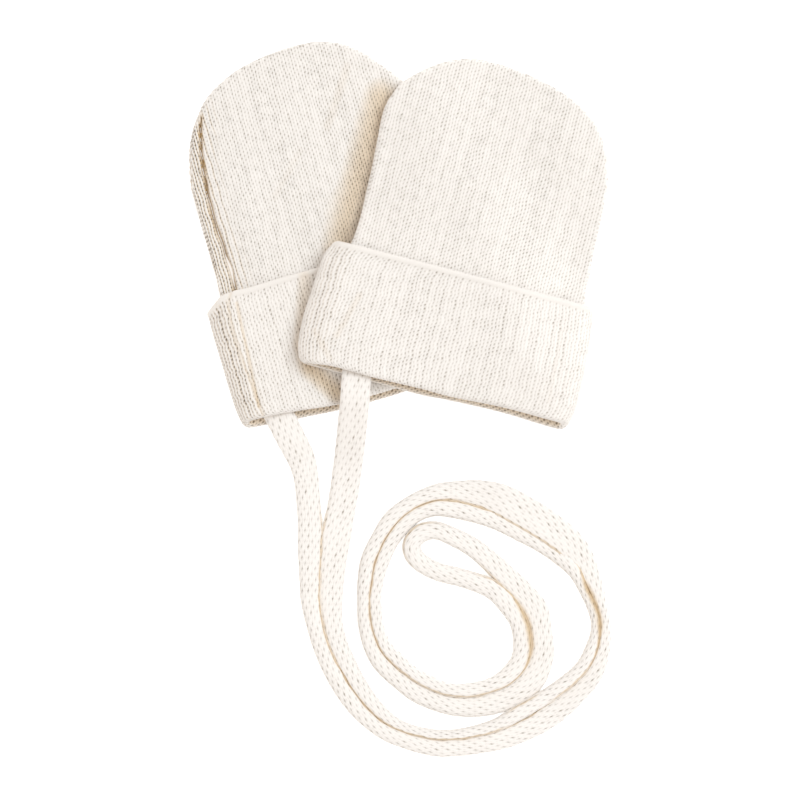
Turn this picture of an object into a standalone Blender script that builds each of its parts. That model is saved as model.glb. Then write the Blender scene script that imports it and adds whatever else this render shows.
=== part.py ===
"""Pair of knitted baby mittens with turned-up cuffs and one flat knitted cord between them, laid flat.

Each mitten has its own frame: u runs across it, v runs from the mouth to the top, z is height.
The left mitten lies on the surface. The right one lies partly on it, over a smooth base height.
"""

import math

import bmesh
import bpy
import numpy as np

MM = 0.001

# Cloth
WALL = 1.5 * MM  # thickness of one layer of knitted cloth
LAYER_GAP = 0.55 * MM  # air between two layers that lie on each other
SIDE_RADIUS = 2.1 * MM  # rounding of the hand's folded side, outside
CUFF_RADIUS = SIDE_RADIUS + WALL + LAYER_GAP  # the same for the cuff, one layer further out
CUFF_LOFT = 2.4 * MM  # how much thicker the cuff is in its middle than at its sides
HAND_LOFT = 2.0 * MM  # the same for the hand
LOFT_REACH_HAND = 18.0 * MM  # distance from the side at which the hand is at full thickness
LOFT_REACH_CUFF = 9.0 * MM

# Cuff
CUFF_HEIGHT = 40.0 * MM  # from the fold at the mouth to the finished edge
INNER_LIMB = 8.0 * MM  # how far the cuff's cloth runs up inside before it joins the hand
LIMB_TAPER = 0.6 * MM  # the two limbs meet in a point this long behind the fold
EDGE_BEVEL = 0.45 * MM  # at the finished edge
MOUTH_REACH = 20.0 * MM  # the mouth's own line fades out over this length
EDGE_START = 16.0 * MM  # the finished edge's own line fades in from here
LIFT_EASE = 14.0 * MM  # the hand comes down to the surface over this length beyond the cuff
LIFT_SPARE = 0.1 * MM  # extra air under the hand inside the cuff

# Side seam, a shallow groove
SEAM_DEPTH = 0.8 * MM
SEAM_HALF_WIDTH = 1.6 * MM
SEAM_SPARE = 0.3 * MM  # least distance between the groove's columns and the side's
SEAM_FADE = 4.0 * MM  # the groove runs out over this length

# Draping of the right mitten over the left one
DRAPE_REACH = 32.0 * MM  # the upper mitten comes down over this width beside the lower one
DRAPE_FULL = 3.0 * MM
SQUASH = 0.5  # share of the loft that is left where the upper mitten presses
PRESS_START = -12.0 * MM  # distance across the lower mitten from which it is pressed
PRESS_WIDTH = 28.0 * MM
SOFT_JOIN = 8  # power of the mean that joins two base heights

# Colour of the yarn, in linear light
CREAM = (0.87, 0.82, 0.74)

# Cord, a flat knitted tube
CORD_WIDTH = 10.2 * MM
CORD_THICKNESS = 3.0 * MM
CORD_POINTS = 80
CORD_STEP = 15.0 * MM  # distance between its points on a straight stretch
CORD_TURN = 0.55  # radians that count as much as one such distance

# Rows of points along the cuff, as distances from the mouth. The hand inside it has the same.
CUFF_ROWS = np.array([3.5, 6, 8.6, 12, 17, 22, 27, 32, 36, 39.6]) * MM
TUCKED_ROWS = np.array([12, 17, 22, 27, 32, 36, 39.6]) * MM

FOLD_STEPS = 6  # steps round the fold at the mouth
HAND_MARGIN = 1.0 * MM  # the hand's own sections begin this far beyond the cuff

# Columns of points across one face of a mitten
SIDE_COLUMNS = np.array([0.0, 0.45, 1.3, 2.5]) * MM  # distances from the side
SEAM_COLUMNS = np.array([-1.0, 0.0, 1.0]) * SEAM_HALF_WIDTH  # distances from the seam
MIDDLE_COLUMNS = 10
COLUMNS = 2 * len(SIDE_COLUMNS) + len(SEAM_COLUMNS) + MIDDLE_COLUMNS
RING = 2 * (COLUMNS - 1)
FULL_WIDTH = 45.0 * MM  # in narrower sections the side columns move together

# Outlines. A row per section, in millimetres: distance from the mouth, left side, right side.
# The last row is the tip, where both sides meet.
LEFT_HAND = [
    (8.6, -48.8, 43.8), (20, -48.6, 43.4), (31, -47.0, 42.0), (40, -45.4, 40.4),
    (44, -44.8, 40.0), (51, -44.4, 39.6), (61, -44.2, 39.4), (71, -44.1, 39.4), (80, -43.8, 39.4),
    (87, -42.5, 38.9), (93.5, -40.6, 37.2), (98, -38.6, 34.9), (102, -36.2, 32.0),
    (105.3, -33.6, 29.4), (108.2, -31.0, 26.9), (110.8, -27.5, 24.2), (113, -23.3, 21.4),
    (115, -18.6, 18.0), (116.5, -12.9, 13.8), (117.5, -6.0, 9.5), (117.9, 2.0, 2.0),
]
RIGHT_HAND = [
    (8.6, -50.4, 42.9), (20, -49.2, 42.2), (31, -46.2, 40.5), (40, -43.6, 39.0),
    (44, -43.0, 38.5), (50, -42.8, 38.2), (59, -43.0, 37.6), (68, -43.2, 37.5), (77, -43.8, 37.1),
    (84, -44.2, 35.9), (89, -44.0, 34.5), (93.5, -42.6, 32.6), (97.5, -40.8, 30.2),
    (100.8, -37.9, 27.6), (103.6, -35.0, 24.0), (106.2, -31.8, 19.8), (108.4, -28.6, 14.8),
    (110.2, -25.2, 8.8), (111.6, -21.8, 2.0), (112.5, -17.8, -5.0), (112.8, -12.0, -12.0),
]
LEFT_CUFF = [
    (0, -50.2, 45.4), (6, -51.0, 46.6), (14, -51.1, 46.8), (22, -51.0, 46.6),
    (30, -51.0, 46.0), (36, -50.8, 45.2), (40, -50.4, 44.4),
]
RIGHT_CUFF = [
    (0, -50.4, 43.4), (6, -52.4, 44.8), (14, -52.9, 44.8), (22, -52.3, 44.4),
    (30, -51.9, 43.6), (36, -50.9, 42.8), (40, -48.2, 41.2),
]

# Line of the fold at the mouth, which sags. A row per point, in millimetres: distance across, drop
# of the front layer, drop of the back layer.
LEFT_MOUTH = [
    (-50, 0.3, 2.6), (-41, 0.7, 3.4), (-30, 2.0, 4.6), (-18, 3.7, 5.7), (-6, 4.3, 6.3),
    (5, 4.2, 6.3), (25, 2.8, 5.2), (46, 1.0, 3.6),
]
RIGHT_MOUTH = [
    (-52, 0.4, 3.0), (-40, 1.2, 3.2), (-25, 1.8, 3.3), (-8, 1.5, 3.5), (2, 1.6, 2.9),
    (20, 0.6, 2.4), (36, 0.7, 3.0), (45, 0.8, 3.0),
]
# Line of the finished edge. A row per point, in millimetres: distance across, rise.
LEFT_EDGE = [(-51, -1.0), (-49, 0.2), (-45, 2.7), (-40, 3.5), (-34, 3.1), (-16, 3.0), (10, 2.0), (45, 1.0)]
RIGHT_EDGE = [(-52, 0.0), (0, 0.0), (45, 0.0)]

# Mittens. Position of the mouth's middle in millimetres, and turn in degrees to the left.
LEFT_PLACE = (-5.4, -49.3, 17.0)
RIGHT_PLACE = (15.8, -53.2, -14.5)

# Side seam. A row per point, in millimetres: distance from the mouth, distance across.
LEFT_SEAM = [
    (0, -42.4), (13, -43.2), (26, -44.1), (40, -43.4), (44, -38.6), (66, -38.8),
    (83, -38.6), (96, -35.9), (103, -33.0),
]
RIGHT_SEAM = [(0, -44.0), (26, -45.0), (40, -39.0), (66, -38.6), (96, -36.0)]

# Cord's route. A row per point: x and y in millimetres, width seen from above in millimetres
# and height of its underside above the surface in millimetres.
CORD_ROUTE = [
    (-43.4, -56.6, 10.2, 4.0), (-41.3, -60.4, 10.2, 4.1), (-39.1, -64.4, 10.2, 4.8),
    (-36.2, -70.2, 10.2, 4.2), (-33.2, -76.3, 9.7, 1.4), (-31.5, -82.8, 8.8, 0.3),
    (-30.8, -90.3, 8.5, 0.3), (-30.4, -97.8, 8.2, 0.3), (-30.4, -106.6, 8.2, 0.3),
    (-30.3, -115.4, 7.5, 0.3), (-30.1, -124.3, 6.8, 0.3), (-28.7, -132.8, 5.8, 0.3),
    (-25.7, -142.3, 5.8, 0.3), (-21.2, -151.5, 6.1, 0.3), (-15.8, -159.6, 6.1, 0.3),
    (-9.7, -165.8, 5.8, 0.3), (-2.2, -170.5, 6.1, 0.3), (10.7, -174.6, 6.1, 0.3),
    (19.2, -174.9, 6.1, 0.3), (27.7, -173.9, 6.1, 0.3), (36.2, -171.9, 6.8, 0.3),
    (44.7, -168.5, 7.1, 0.3), (52.5, -163.7, 7.8, 0.3), (60.0, -157.6, 6.8, 0.3),
    (66.5, -150.5, 5.8, 0.3), (69.9, -142.0, 4.8, 0.3), (70.6, -134.5, 4.1, 0.3),
    (69.9, -128.7, 4.1, 0.3), (67.8, -121.6, 5.4, 0.6), (64.1, -113.4, 8.2, 1.8),
    (59.0, -105.9, 10.5, 3.4), (51.9, -100.1, 11.2, 3.7), (43.7, -95.0, 11.6, 3.6),
    (35.5, -90.6, 11.2, 3.2), (27.7, -88.2, 9.5, 1.8), (19.2, -87.2, 6.8, 0.4),
    (12.4, -87.9, 5.8, 0.3), (4.2, -91.3, 5.1, 0.3), (-2.6, -96.7, 5.4, 0.3),
    (-7.0, -103.2, 4.8, 0.3), (-10.4, -110.7, 5.1, 0.3), (-11.7, -118.2, 4.8, 0.3),
    (-12.1, -125.3, 4.1, 0.3), (-11.7, -132.8, 4.4, 0.3), (-9.4, -140.6, 5.1, 0.3),
    (-5.6, -146.7, 5.8, 0.3), (0.9, -152.5, 6.1, 0.3), (7.0, -156.6, 6.8, 0.3),
    (15.8, -160.0, 6.8, 0.3), (24.3, -161.0, 7.1, 0.3), (32.8, -159.6, 7.8, 0.3),
    (40.6, -156.2, 8.2, 0.3), (46.4, -150.8, 8.5, 0.3), (49.1, -143.0, 8.2, 0.3),
    (48.8, -135.2, 7.5, 0.3), (46.8, -127.7, 8.8, 0.3), (42.0, -121.6, 8.2, 0.3),
    (36.2, -115.8, 7.5, 0.3), (31.1, -111.0, 7.1, 0.3), (25.0, -106.3, 6.8, 0.4),
    (19.2, -103.2, 6.5, 1.0), (12.8, -100.8, 6.1, 1.6), (7.3, -102.2, 6.1, 1.8),
    (4.6, -105.9, 6.1, 1.8), (5.6, -109.7, 6.5, 1.2), (9.0, -112.7, 6.5, 0.5),
    (14.1, -115.1, 6.5, 0.3), (20.9, -116.8, 6.5, 0.3), (27.0, -118.8, 6.5, 0.3),
    (32.8, -121.6, 6.8, 0.3), (37.2, -126.0, 7.1, 0.3), (40.6, -131.8, 6.1, 0.3),
    (42.0, -138.2, 6.1, 0.3), (41.3, -144.7, 6.1, 0.3), (37.2, -150.1, 5.8, 0.3),
    (31.8, -153.2, 4.8, 0.3), (25.0, -154.9, 4.8, 0.3), (17.5, -154.9, 4.4, 0.3),
    (10.7, -152.5, 4.8, 0.3), (3.9, -148.4, 4.4, 0.3), (-0.9, -144.0, 4.8, 0.3),
    (-4.6, -139.6, 4.4, 0.3), (-7.0, -132.8, 4.1, 0.3), (-7.7, -125.3, 4.1, 0.3),
    (-7.0, -118.2, 4.1, 0.3), (-5.3, -111.4, 4.8, 0.3), (-2.6, -105.2, 4.8, 0.3),
    (1.2, -99.8, 5.1, 0.3), (6.3, -95.4, 5.1, 0.3), (12.4, -93.3, 5.4, 0.3),
    (19.2, -93.7, 6.1, 0.3), (27.7, -95.7, 6.1, 0.3), (34.5, -98.1, 6.1, 0.3),
    (41.3, -101.5, 6.1, 0.3), (49.1, -105.6, 6.1, 0.3), (55.9, -110.3, 6.1, 0.3),
    (60.4, -115.1, 5.1, 0.3), (63.1, -121.2, 3.4, 0.3), (65.8, -127.0, 3.4, 0.3),
    (67.2, -133.8, 3.1, 0.3), (65.5, -141.3, 4.1, 0.3), (62.1, -147.4, 4.1, 0.3),
    (56.6, -152.5, 4.4, 0.3), (49.8, -157.6, 4.8, 0.3), (42.0, -162.4, 5.1, 0.3),
    (34.5, -166.4, 4.1, 0.3), (27.0, -168.8, 3.7, 0.3), (19.2, -170.2, 3.4, 0.3),
    (12.4, -170.2, 3.4, 0.3), (4.6, -168.8, 3.7, 0.3), (-2.2, -165.8, 4.4, 0.3),
    (-8.3, -160.3, 5.1, 0.3), (-13.8, -152.8, 5.8, 0.3), (-17.9, -145.4, 6.5, 0.3),
    (-20.9, -138.6, 6.8, 0.3), (-22.6, -131.1, 7.1, 0.3), (-23.0, -124.3, 8.2, 0.3),
    (-22.6, -115.8, 8.8, 0.3), (-21.9, -109.0, 9.5, 0.3), (-20.9, -102.2, 9.9, 0.3),
    (-19.6, -94.4, 9.9, 0.3), (-18.2, -85.9, 10.2, 0.7), (-17.2, -78.4, 10.2, 2.4),
    (-16.2, -70.6, 10.2, 6.3), (-15.5, -63.8, 10.2, 10.5), (-14.8, -57.3, 10.2, 14.1),
    (-14.5, -52.2, 10.2, 15.2), (-14.2, -48.6, 10.2, 15.1), (-13.9, -45.8, 10.2, 15.0),
]


def table(rows):
    """A table in millimetres as an array in metres."""
    return np.array(rows, float) * MM


def smooth(t):
    """Zero below 0, one above 1, and a soft S between."""
    t = np.clip(t, 0.0, 1.0)
    return t * t * (3.0 - 2.0 * t)


def sides(rows):
    """Left and right ends of each section as points (u, v)."""
    left = np.stack([rows[:, 1], rows[:, 0]], axis=1)
    right = np.stack([rows[:, 2], rows[:, 0]], axis=1)
    return left, right


def outline(rows, closed_top):
    """Points of the outline from the mouth's left end over the top to its right end."""
    left, right = sides(rows)
    if closed_top:
        return np.concatenate([left, right[-2::-1]])
    return np.concatenate([left, right[::-1]])


def normals(path):
    """Unit normals to the right of a path, at its points."""
    step = np.gradient(path, axis=0)
    step /= np.linalg.norm(step, axis=1)[:, None]
    return np.stack([step[:, 1], -step[:, 0]], axis=1)


def inset_sides(rows, inset):
    """Section ends moved inwards by the inset, square to the outline, as (left, right)."""
    left, right = sides(rows)
    if np.allclose(left[-1], right[-1]):
        whole = np.concatenate([left, right[-2::-1]])
        moved = whole + inset * normals(whole)
        count = len(left)
        return moved[:count], np.concatenate([moved[count:][::-1], moved[count - 1 : count]])
    return left + inset * normals(left), right - inset * normals(right)


def distance_to_path(points, path):
    """Shortest distance from each point (u, v) to a path."""
    start, step = path[:-1], np.diff(path, axis=0)
    away = points[..., None, :] - start
    along = (away * step).sum(-1) / (step**2).sum(-1)
    nearest = start + np.clip(along, 0.0, 1.0)[..., None] * step
    return np.linalg.norm(points[..., None, :] - nearest, axis=-1).min(-1)


def column_shares(mitten, left, right):
    """Where the columns stand between a section's left end (0) and its right end (1)."""
    width = np.linalg.norm(right - left)
    seam = np.interp(left[1], mitten["seam"][:, 0], mitten["seam"][:, 1]) - left[0]
    seam = max(seam, SIDE_COLUMNS[-1] + SEAM_HALF_WIDTH + SEAM_SPARE)
    squeeze = min(1.0, width / FULL_WIDTH)
    near = np.concatenate([SIDE_COLUMNS, seam + SEAM_COLUMNS]) * squeeze
    far = width - SIDE_COLUMNS[::-1] * squeeze
    middle = np.linspace(near[-1], far[0], MIDDLE_COLUMNS + 2)[1:-1]
    return np.concatenate([near, middle, far]) / width


def side_rise(distance, radius, width):
    """Half thickness near a rounded side: a quarter of an ellipse, then flat."""
    share = np.clip(distance / width, 0.0, 1.0)
    return radius * np.sqrt(np.clip(1.0 - (1.0 - share) ** 2, 0.0, 1.0))


def squash(mitten, points):
    """Share of the loft that is left at each point; the lower mitten is pressed on its right."""
    if mitten["lower"]:
        return 1.0 - (1.0 - SQUASH) * smooth((points[..., 0] - PRESS_START) / PRESS_WIDTH)
    return np.ones(points.shape[:-1])


def loft(mitten, points, distance, most, reach):
    """Extra thickness towards the middle of a mitten."""
    return most * squash(mitten, points) * smooth(distance / reach)


def seam_groove(mitten, points, upper):
    """Depth of the side seam's groove at each point, on the face that has it."""
    if upper != mitten["seam_on_top"]:
        return np.zeros(points.shape[:-1])
    seam = mitten["seam"]
    across = np.interp(points[..., 1], seam[:, 0], seam[:, 1])
    share = np.clip(np.abs(points[..., 0] - across) / SEAM_HALF_WIDTH, 0.0, 1.0)
    fade = 1.0 - smooth((points[..., 1] - seam[-1, 0]) / SEAM_FADE)
    return SEAM_DEPTH * (1.0 - share) * fade


def hand_lift(points):
    """Height of the hand's underside: one cuff layer up inside the cuff, none beyond it."""
    most = WALL + LAYER_GAP + LIFT_SPARE
    return most * (1.0 - smooth((points[..., 1] - CUFF_HEIGHT) / LIFT_EASE))


def hand_faces(mitten, points, path, inset):
    """Heights of the hand's lower and upper surface at points, moved inwards by the inset."""
    radius = SIDE_RADIUS - inset
    distance = distance_to_path(points, path)
    rise = side_rise(distance, radius, radius)
    extra = loft(mitten, points, distance + inset, HAND_LOFT, LOFT_REACH_HAND)
    lift = hand_lift(points)
    return lift + SIDE_RADIUS - rise, lift + SIDE_RADIUS + rise + extra


def closed_section(points, low, high):
    """Over the upper surface to the right side, then back along the lower one."""
    upper = np.column_stack([points, high])
    lower = np.column_stack([points, low])
    upper[[0, -1], 2] = 0.5 * (high[[0, -1]] + low[[0, -1]])
    return np.concatenate([upper, lower[-2:0:-1]])


def hand_section(mitten, left, right, path, inset):
    """One closed section of the hand between two points of its outline."""
    points = left + (right - left) * column_shares(mitten, left, right)[:, None]
    low, high = hand_faces(mitten, points, path, inset)
    if inset == 0.0:
        high = high - seam_groove(mitten, points, True)
        low = low + seam_groove(mitten, points, False)
    return closed_section(points, low, high)


def mouth_drop(mitten, points, front):
    """How far the cloth is slid down towards the mouth's own line. The share front is 1 on the
    front layer and 0 on the back layer."""
    across, front_drop, back_drop = mitten["mouth"].T
    high = np.interp(points[..., 0], across, front_drop)
    low = np.interp(points[..., 0], across, back_drop)
    return (low + front * (high - low)) * (1.0 - smooth(points[..., 1] / MOUTH_REACH))


def edge_rise(mitten, points):
    """How far the cuff's cloth is slid up towards the finished edge's own line."""
    across, rise = mitten["edge"].T
    share = smooth((points[..., 1] - EDGE_START) / (CUFF_HEIGHT - EDGE_START))
    return np.interp(points[..., 0], across, rise) * share


def shaped_ends(mitten, points, cuff):
    """Points (u, v, height) of the hand or the cuff, slid to the mouth's and the edge's lines."""
    front = smooth((points[:, 2] - WALL) / (2 * CUFF_RADIUS - 2 * WALL))
    slide = -mouth_drop(mitten, points, front)
    if cuff:
        slide += edge_rise(mitten, points)
    return points + slide[:, None] * np.array([0.0, 1.0, 0.0])


def quads(first, second, count):
    """Faces between two rings of the same number of points."""
    k = np.arange(count)
    after = (k + 1) % count
    return [
        (int(first + a), int(first + b), int(second + b), int(second + a))
        for a, b in zip(k, after)
    ]


def fan(first, tip, count):
    """Triangles from a ring to one point."""
    return [(first + k, first + (k + 1) % count, tip) for k in range(count)]


def hand_layer(mitten, inset):
    """All points of one face of the hand's cloth: a ring for each section, then the tip."""
    rows = mitten["hand"]
    left, right = inset_sides(rows, inset)
    left[0, 1] = right[0, 1] = rows[0, 0]
    path = np.concatenate([left, right[-2::-1]])
    rings = [hand_section(mitten, a, b, path, inset) for a, b in zip(left[:-1], right[:-1])]
    low, high = hand_faces(mitten, left[-1:], path, inset)
    tip = np.array([[left[-1, 0], left[-1, 1], 0.5 * (low[0] + high[0])]])
    return shaped_ends(mitten, np.concatenate(rings + [tip]), False)


def hand_solid(mitten):
    """A bag of one cloth layer: outer rings up to the tip, and inner rings the other way round."""
    layers = [hand_layer(mitten, inset) for inset in (0.0, WALL)]
    rings = len(mitten["hand"]) - 1
    inner = len(layers[0])
    faces = []
    for k in range(rings - 1):
        faces += quads(k * RING, (k + 1) * RING, RING)
        faces += quads(inner + (k + 1) * RING, inner + k * RING, RING)
    faces += fan((rings - 1) * RING, rings * RING, RING)
    faces += fan(inner + (rings - 1) * RING, inner + rings * RING, RING)
    faces += quads(inner, 0, RING)
    return np.concatenate(layers), faces


def cuff_profile():
    """The cuff's cloth cut lengthwise: pairs of distance from the mouth and depth from outside."""
    fold = WALL + LAYER_GAP / 2
    profile = [(CUFF_HEIGHT, EDGE_BEVEL)]
    profile += [(v, 0.0) for v in CUFF_ROWS[::-1]]
    for angle in np.linspace(0.0, math.pi, FOLD_STEPS + 1):
        profile.append((fold * (1.0 - math.sin(angle)), fold * (1.0 - math.cos(angle))))
    profile.append((INNER_LIMB, 2 * WALL + LAYER_GAP))
    profile.append((INNER_LIMB, WALL + LAYER_GAP))
    profile.append((fold + LIMB_TAPER, WALL + LAYER_GAP))
    profile.append((fold, WALL + LAYER_GAP / 2))
    profile.append((fold + LIMB_TAPER, WALL))
    profile += [(v, WALL) for v in CUFF_ROWS]
    profile.append((CUFF_HEIGHT, WALL - EDGE_BEVEL))
    return profile


def rows_at(rows, distances):
    """Sections of an outline at given distances from the mouth."""
    return np.column_stack([
        distances,
        np.interp(distances, rows[:, 0], rows[:, 1]),
        np.interp(distances, rows[:, 0], rows[:, 2]),
    ])


def with_tucked_rows(rows):
    """The hand's sections with those inside the cuff set at the cuff's own rows."""
    first, rest = rows[:1], rows[rows[:, 0] > CUFF_HEIGHT + HAND_MARGIN]
    return np.concatenate([first, rows_at(rows, TUCKED_ROWS), rest])


def cuff_section(mitten, v, inset):
    """One closed section of the cuff at a distance from the mouth, at a depth from outside."""
    _, left, right = rows_at(mitten["cuff"], np.array([v]))[0]
    ends = np.array([[left + inset, v], [right - inset, v]])
    points = ends[0] + (ends[1] - ends[0]) * column_shares(mitten, *ends)[:, None]
    across = points[:, 0]
    from_side = np.minimum(across - left, right - across) - inset
    _, hand_left, hand_right = rows_at(mitten["hand"], np.array([v]))[0]
    spare = np.where(across < 0.5 * (left + right), hand_left - left, right - hand_right)
    width = CUFF_RADIUS + np.maximum(0.0, spare - WALL - LAYER_GAP)
    rise = side_rise(from_side, CUFF_RADIUS - inset, width - inset)
    high = CUFF_RADIUS + rise + loft(mitten, points, from_side + inset, CUFF_LOFT, LOFT_REACH_CUFF)
    low = CUFF_RADIUS - rise
    if inset == 0.0:
        high = high - seam_groove(mitten, points, True)
        low = low + seam_groove(mitten, points, False)
    return closed_section(points, low, high)


def cuff_solid(mitten):
    """A band of one cloth layer that comes down outside, folds at the mouth and runs up inside."""
    profile = cuff_profile()
    rings = [cuff_section(mitten, v, inset) for v, inset in profile]
    faces = []
    for k in range(len(rings)):
        faces += quads(k * RING, (k + 1) % len(rings) * RING, RING)
    return shaped_ends(mitten, np.concatenate(rings), True), faces


def to_world(mitten, points):
    """Points from a mitten's own frame to the common frame, without the base height."""
    x, y, turn = mitten["place"]
    a = math.radians(turn)
    across = np.array([math.cos(a), math.sin(a)])
    along = np.array([-math.sin(a), math.cos(a)])
    spot = points[..., :1] * across + points[..., 1:2] * along + np.array([x, y]) * MM
    return np.concatenate([spot, points[..., 2:]], axis=-1)


def to_own(mitten, spots):
    """Positions (x, y) from the common frame to a mitten's own frame."""
    x, y, turn = mitten["place"]
    a = math.radians(turn)
    away = spots - np.array([x, y]) * MM
    u = away[..., 0] * math.cos(a) + away[..., 1] * math.sin(a)
    v = -away[..., 0] * math.sin(a) + away[..., 1] * math.cos(a)
    return np.stack([u, v], axis=-1)


def depth_inside(points, rows, closed_top):
    """Distance to a piece's outline, positive inside it."""
    path = outline(rows, closed_top)
    path = np.concatenate([path, path[:1]])
    left = np.interp(points[..., 1], rows[:, 0], rows[:, 1])
    right = np.interp(points[..., 1], rows[:, 0], rows[:, 2])
    inside = (points[..., 0] > left) & (points[..., 0] < right)
    inside &= (points[..., 1] > rows[0, 0]) & (points[..., 1] < rows[-1, 0])
    distance = distance_to_path(points, path)
    return np.where(inside, distance, -distance)


def drape_height(lower, spots):
    """Base height of a piece that lies over the lower mitten at positions (x, y)."""
    own = to_own(lower, spots)
    straight = own.copy()
    straight[..., 1] += mouth_drop(lower, own, 0.0) - edge_rise(lower, own)
    top_of_hand = 2 * SIDE_RADIUS + LAYER_GAP + CUFF_LOFT * squash(lower, own)
    top_of_cuff = 2 * CUFF_RADIUS + LAYER_GAP + CUFF_LOFT * squash(lower, own)
    over = DRAPE_REACH + DRAPE_FULL
    hand = smooth((depth_inside(own, lower["hand"], True) + DRAPE_REACH) / over)
    cuff = smooth((depth_inside(straight, lower["cuff"], False) + DRAPE_REACH) / over)
    total = (top_of_hand * hand) ** SOFT_JOIN + (top_of_cuff * cuff) ** SOFT_JOIN
    return total ** (1 / SOFT_JOIN)


def smooth_curve(points, per_span=12):
    """A smooth curve through all points (Catmull-Rom), columns of any kind."""
    whole = np.concatenate([2 * points[:1] - points[1:2], points, 2 * points[-1:] - points[-2:-1]])
    t = np.linspace(0.0, 1.0, per_span, endpoint=False)[:, None]
    spans = []
    for a, b, c, d in zip(whole, whole[1:], whole[2:], whole[3:]):
        spans.append(
            b + 0.5 * t * (c - a + t * (2 * a - 5 * b + 4 * c - d + t * (3 * (b - c) + d - a)))
        )
    return np.concatenate(spans + [points[-1:]])


def spaced_points(dense, count):
    """Points of a dense curve, closer together where it turns."""
    step = np.diff(dense[:, :2], axis=0)
    length = np.linalg.norm(step, axis=1)
    heading = np.unwrap(np.arctan2(step[:, 1], step[:, 0]))
    turn = np.abs(np.append(np.diff(heading), 0.0))
    measure = np.concatenate([[0.0], np.cumsum(length / CORD_STEP + turn / CORD_TURN)])
    at = np.linspace(0.0, measure[-1], count)
    return np.column_stack([np.interp(at, measure, dense[:, k]) for k in range(dense.shape[1])])


def cord_rows():
    """The cord's centre points and its turn from lying flat, from the route's table."""
    rows = spaced_points(smooth_curve(table(CORD_ROUTE)), CORD_POINTS)
    spine = CORD_WIDTH - CORD_THICKNESS
    flatness = np.clip((rows[:, 2] - CORD_THICKNESS) / spine, 0.0, 1.0)
    roll = np.arccos(flatness)
    height = rows[:, 3] + 0.5 * CORD_THICKNESS + 0.5 * spine * np.sin(roll)
    return np.column_stack([rows[:, :2], height]), roll


def add_cord():
    """A flat tube along the route, turned on edge where the table gives a smaller width."""
    centres, roll = cord_rows()
    curve = bpy.data.curves.new("cord", "CURVE")
    curve.dimensions = "3D"
    curve.twist_mode = "Z_UP"
    curve.fill_mode = "FULL"
    curve.bevel_depth = 0.5 * CORD_THICKNESS
    curve.extrude = 0.5 * (CORD_WIDTH - CORD_THICKNESS)
    curve.bevel_resolution = 2
    curve.use_fill_caps = True
    spline = curve.splines.new("POLY")
    spline.points.add(len(centres) - 1)
    for point, centre, turn in zip(spline.points, centres, roll):
        point.co = (*centre, 1.0)
        point.tilt = 0.5 * math.pi - turn
    cord = bpy.data.objects.new("cord", curve)
    bpy.context.scene.collection.objects.link(cord)
    curve.materials.append(cloth_material("cord_knit", CREAM))


def mesh_object(name, vertices, faces):
    """A smooth-shaded solid with its faces pointing outwards."""
    mesh = bpy.data.meshes.new(name)
    mesh.from_pydata([tuple(p) for p in vertices], [], faces)
    work = bmesh.new()
    work.from_mesh(mesh)
    bmesh.ops.recalc_face_normals(work, faces=work.faces)
    work.to_mesh(mesh)
    work.free()
    mesh.shade_smooth()
    solid = bpy.data.objects.new(name, mesh)
    bpy.context.scene.collection.objects.link(solid)
    return solid


def cloth_material(name, colour):
    """Plain matt cotton knit in one colour, given as linear red, green and blue."""
    material = bpy.data.materials.new(name)
    material.use_nodes = True
    shader = material.node_tree.nodes["Principled BSDF"]
    shader.inputs["Base Color"].default_value = (*colour, 1.0)
    shader.inputs["Roughness"].default_value = 0.9
    material.diffuse_color = (*colour, 1.0)
    return material


def add_mitten(mitten, lower):
    """The hand and the cuff of one mitten, lifted where they lie over the lower mitten."""
    for kind, build in (("hand", hand_solid), ("cuff", cuff_solid)):
        vertices, faces = build(mitten)
        placed = to_world(mitten, vertices)
        if lower is not None:
            placed[:, 2] += drape_height(lower, placed[:, :2])
        name = f"{mitten['name']}_{kind}"
        solid = mesh_object(name, placed, faces)
        solid.data.materials.append(cloth_material(f"{name}_knit", CREAM))


def left_mitten():
    """The lower mitten, with its side seam on the upper face."""
    return {
        "name": "left", "place": LEFT_PLACE, "lower": True, "seam_on_top": True,
        "hand": with_tucked_rows(table(LEFT_HAND)), "cuff": table(LEFT_CUFF),
        "seam": table(LEFT_SEAM), "mouth": smooth_curve(table(LEFT_MOUTH)),
        "edge": smooth_curve(table(LEFT_EDGE)),
    }


def right_mitten():
    """The upper mitten, with its side seam underneath."""
    return {
        "name": "right", "place": RIGHT_PLACE, "lower": False, "seam_on_top": False,
        "hand": with_tucked_rows(table(RIGHT_HAND)), "cuff": table(RIGHT_CUFF),
        "seam": table(RIGHT_SEAM), "mouth": smooth_curve(table(RIGHT_MOUTH)),
        "edge": smooth_curve(table(RIGHT_EDGE)),
    }


def main():
    """An empty scene, then the two mittens and the cord."""
    for found in list(bpy.data.objects):
        bpy.data.objects.remove(found)
    left = left_mitten()
    add_mitten(left, None)
    add_mitten(right_mitten(), left)
    add_cord()


main()
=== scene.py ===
# %% [markdown]
# # Knitted baby mittens on a cord
#
# Two bag-shaped mittens without thumbs lie on a white table, the right one partly on the left one.
# Each is a knitted bag, the hand, with a wide turned-up cuff. One long flat knitted cord joins them.
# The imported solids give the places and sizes. This lesson puts the real knitting on them.

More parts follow.
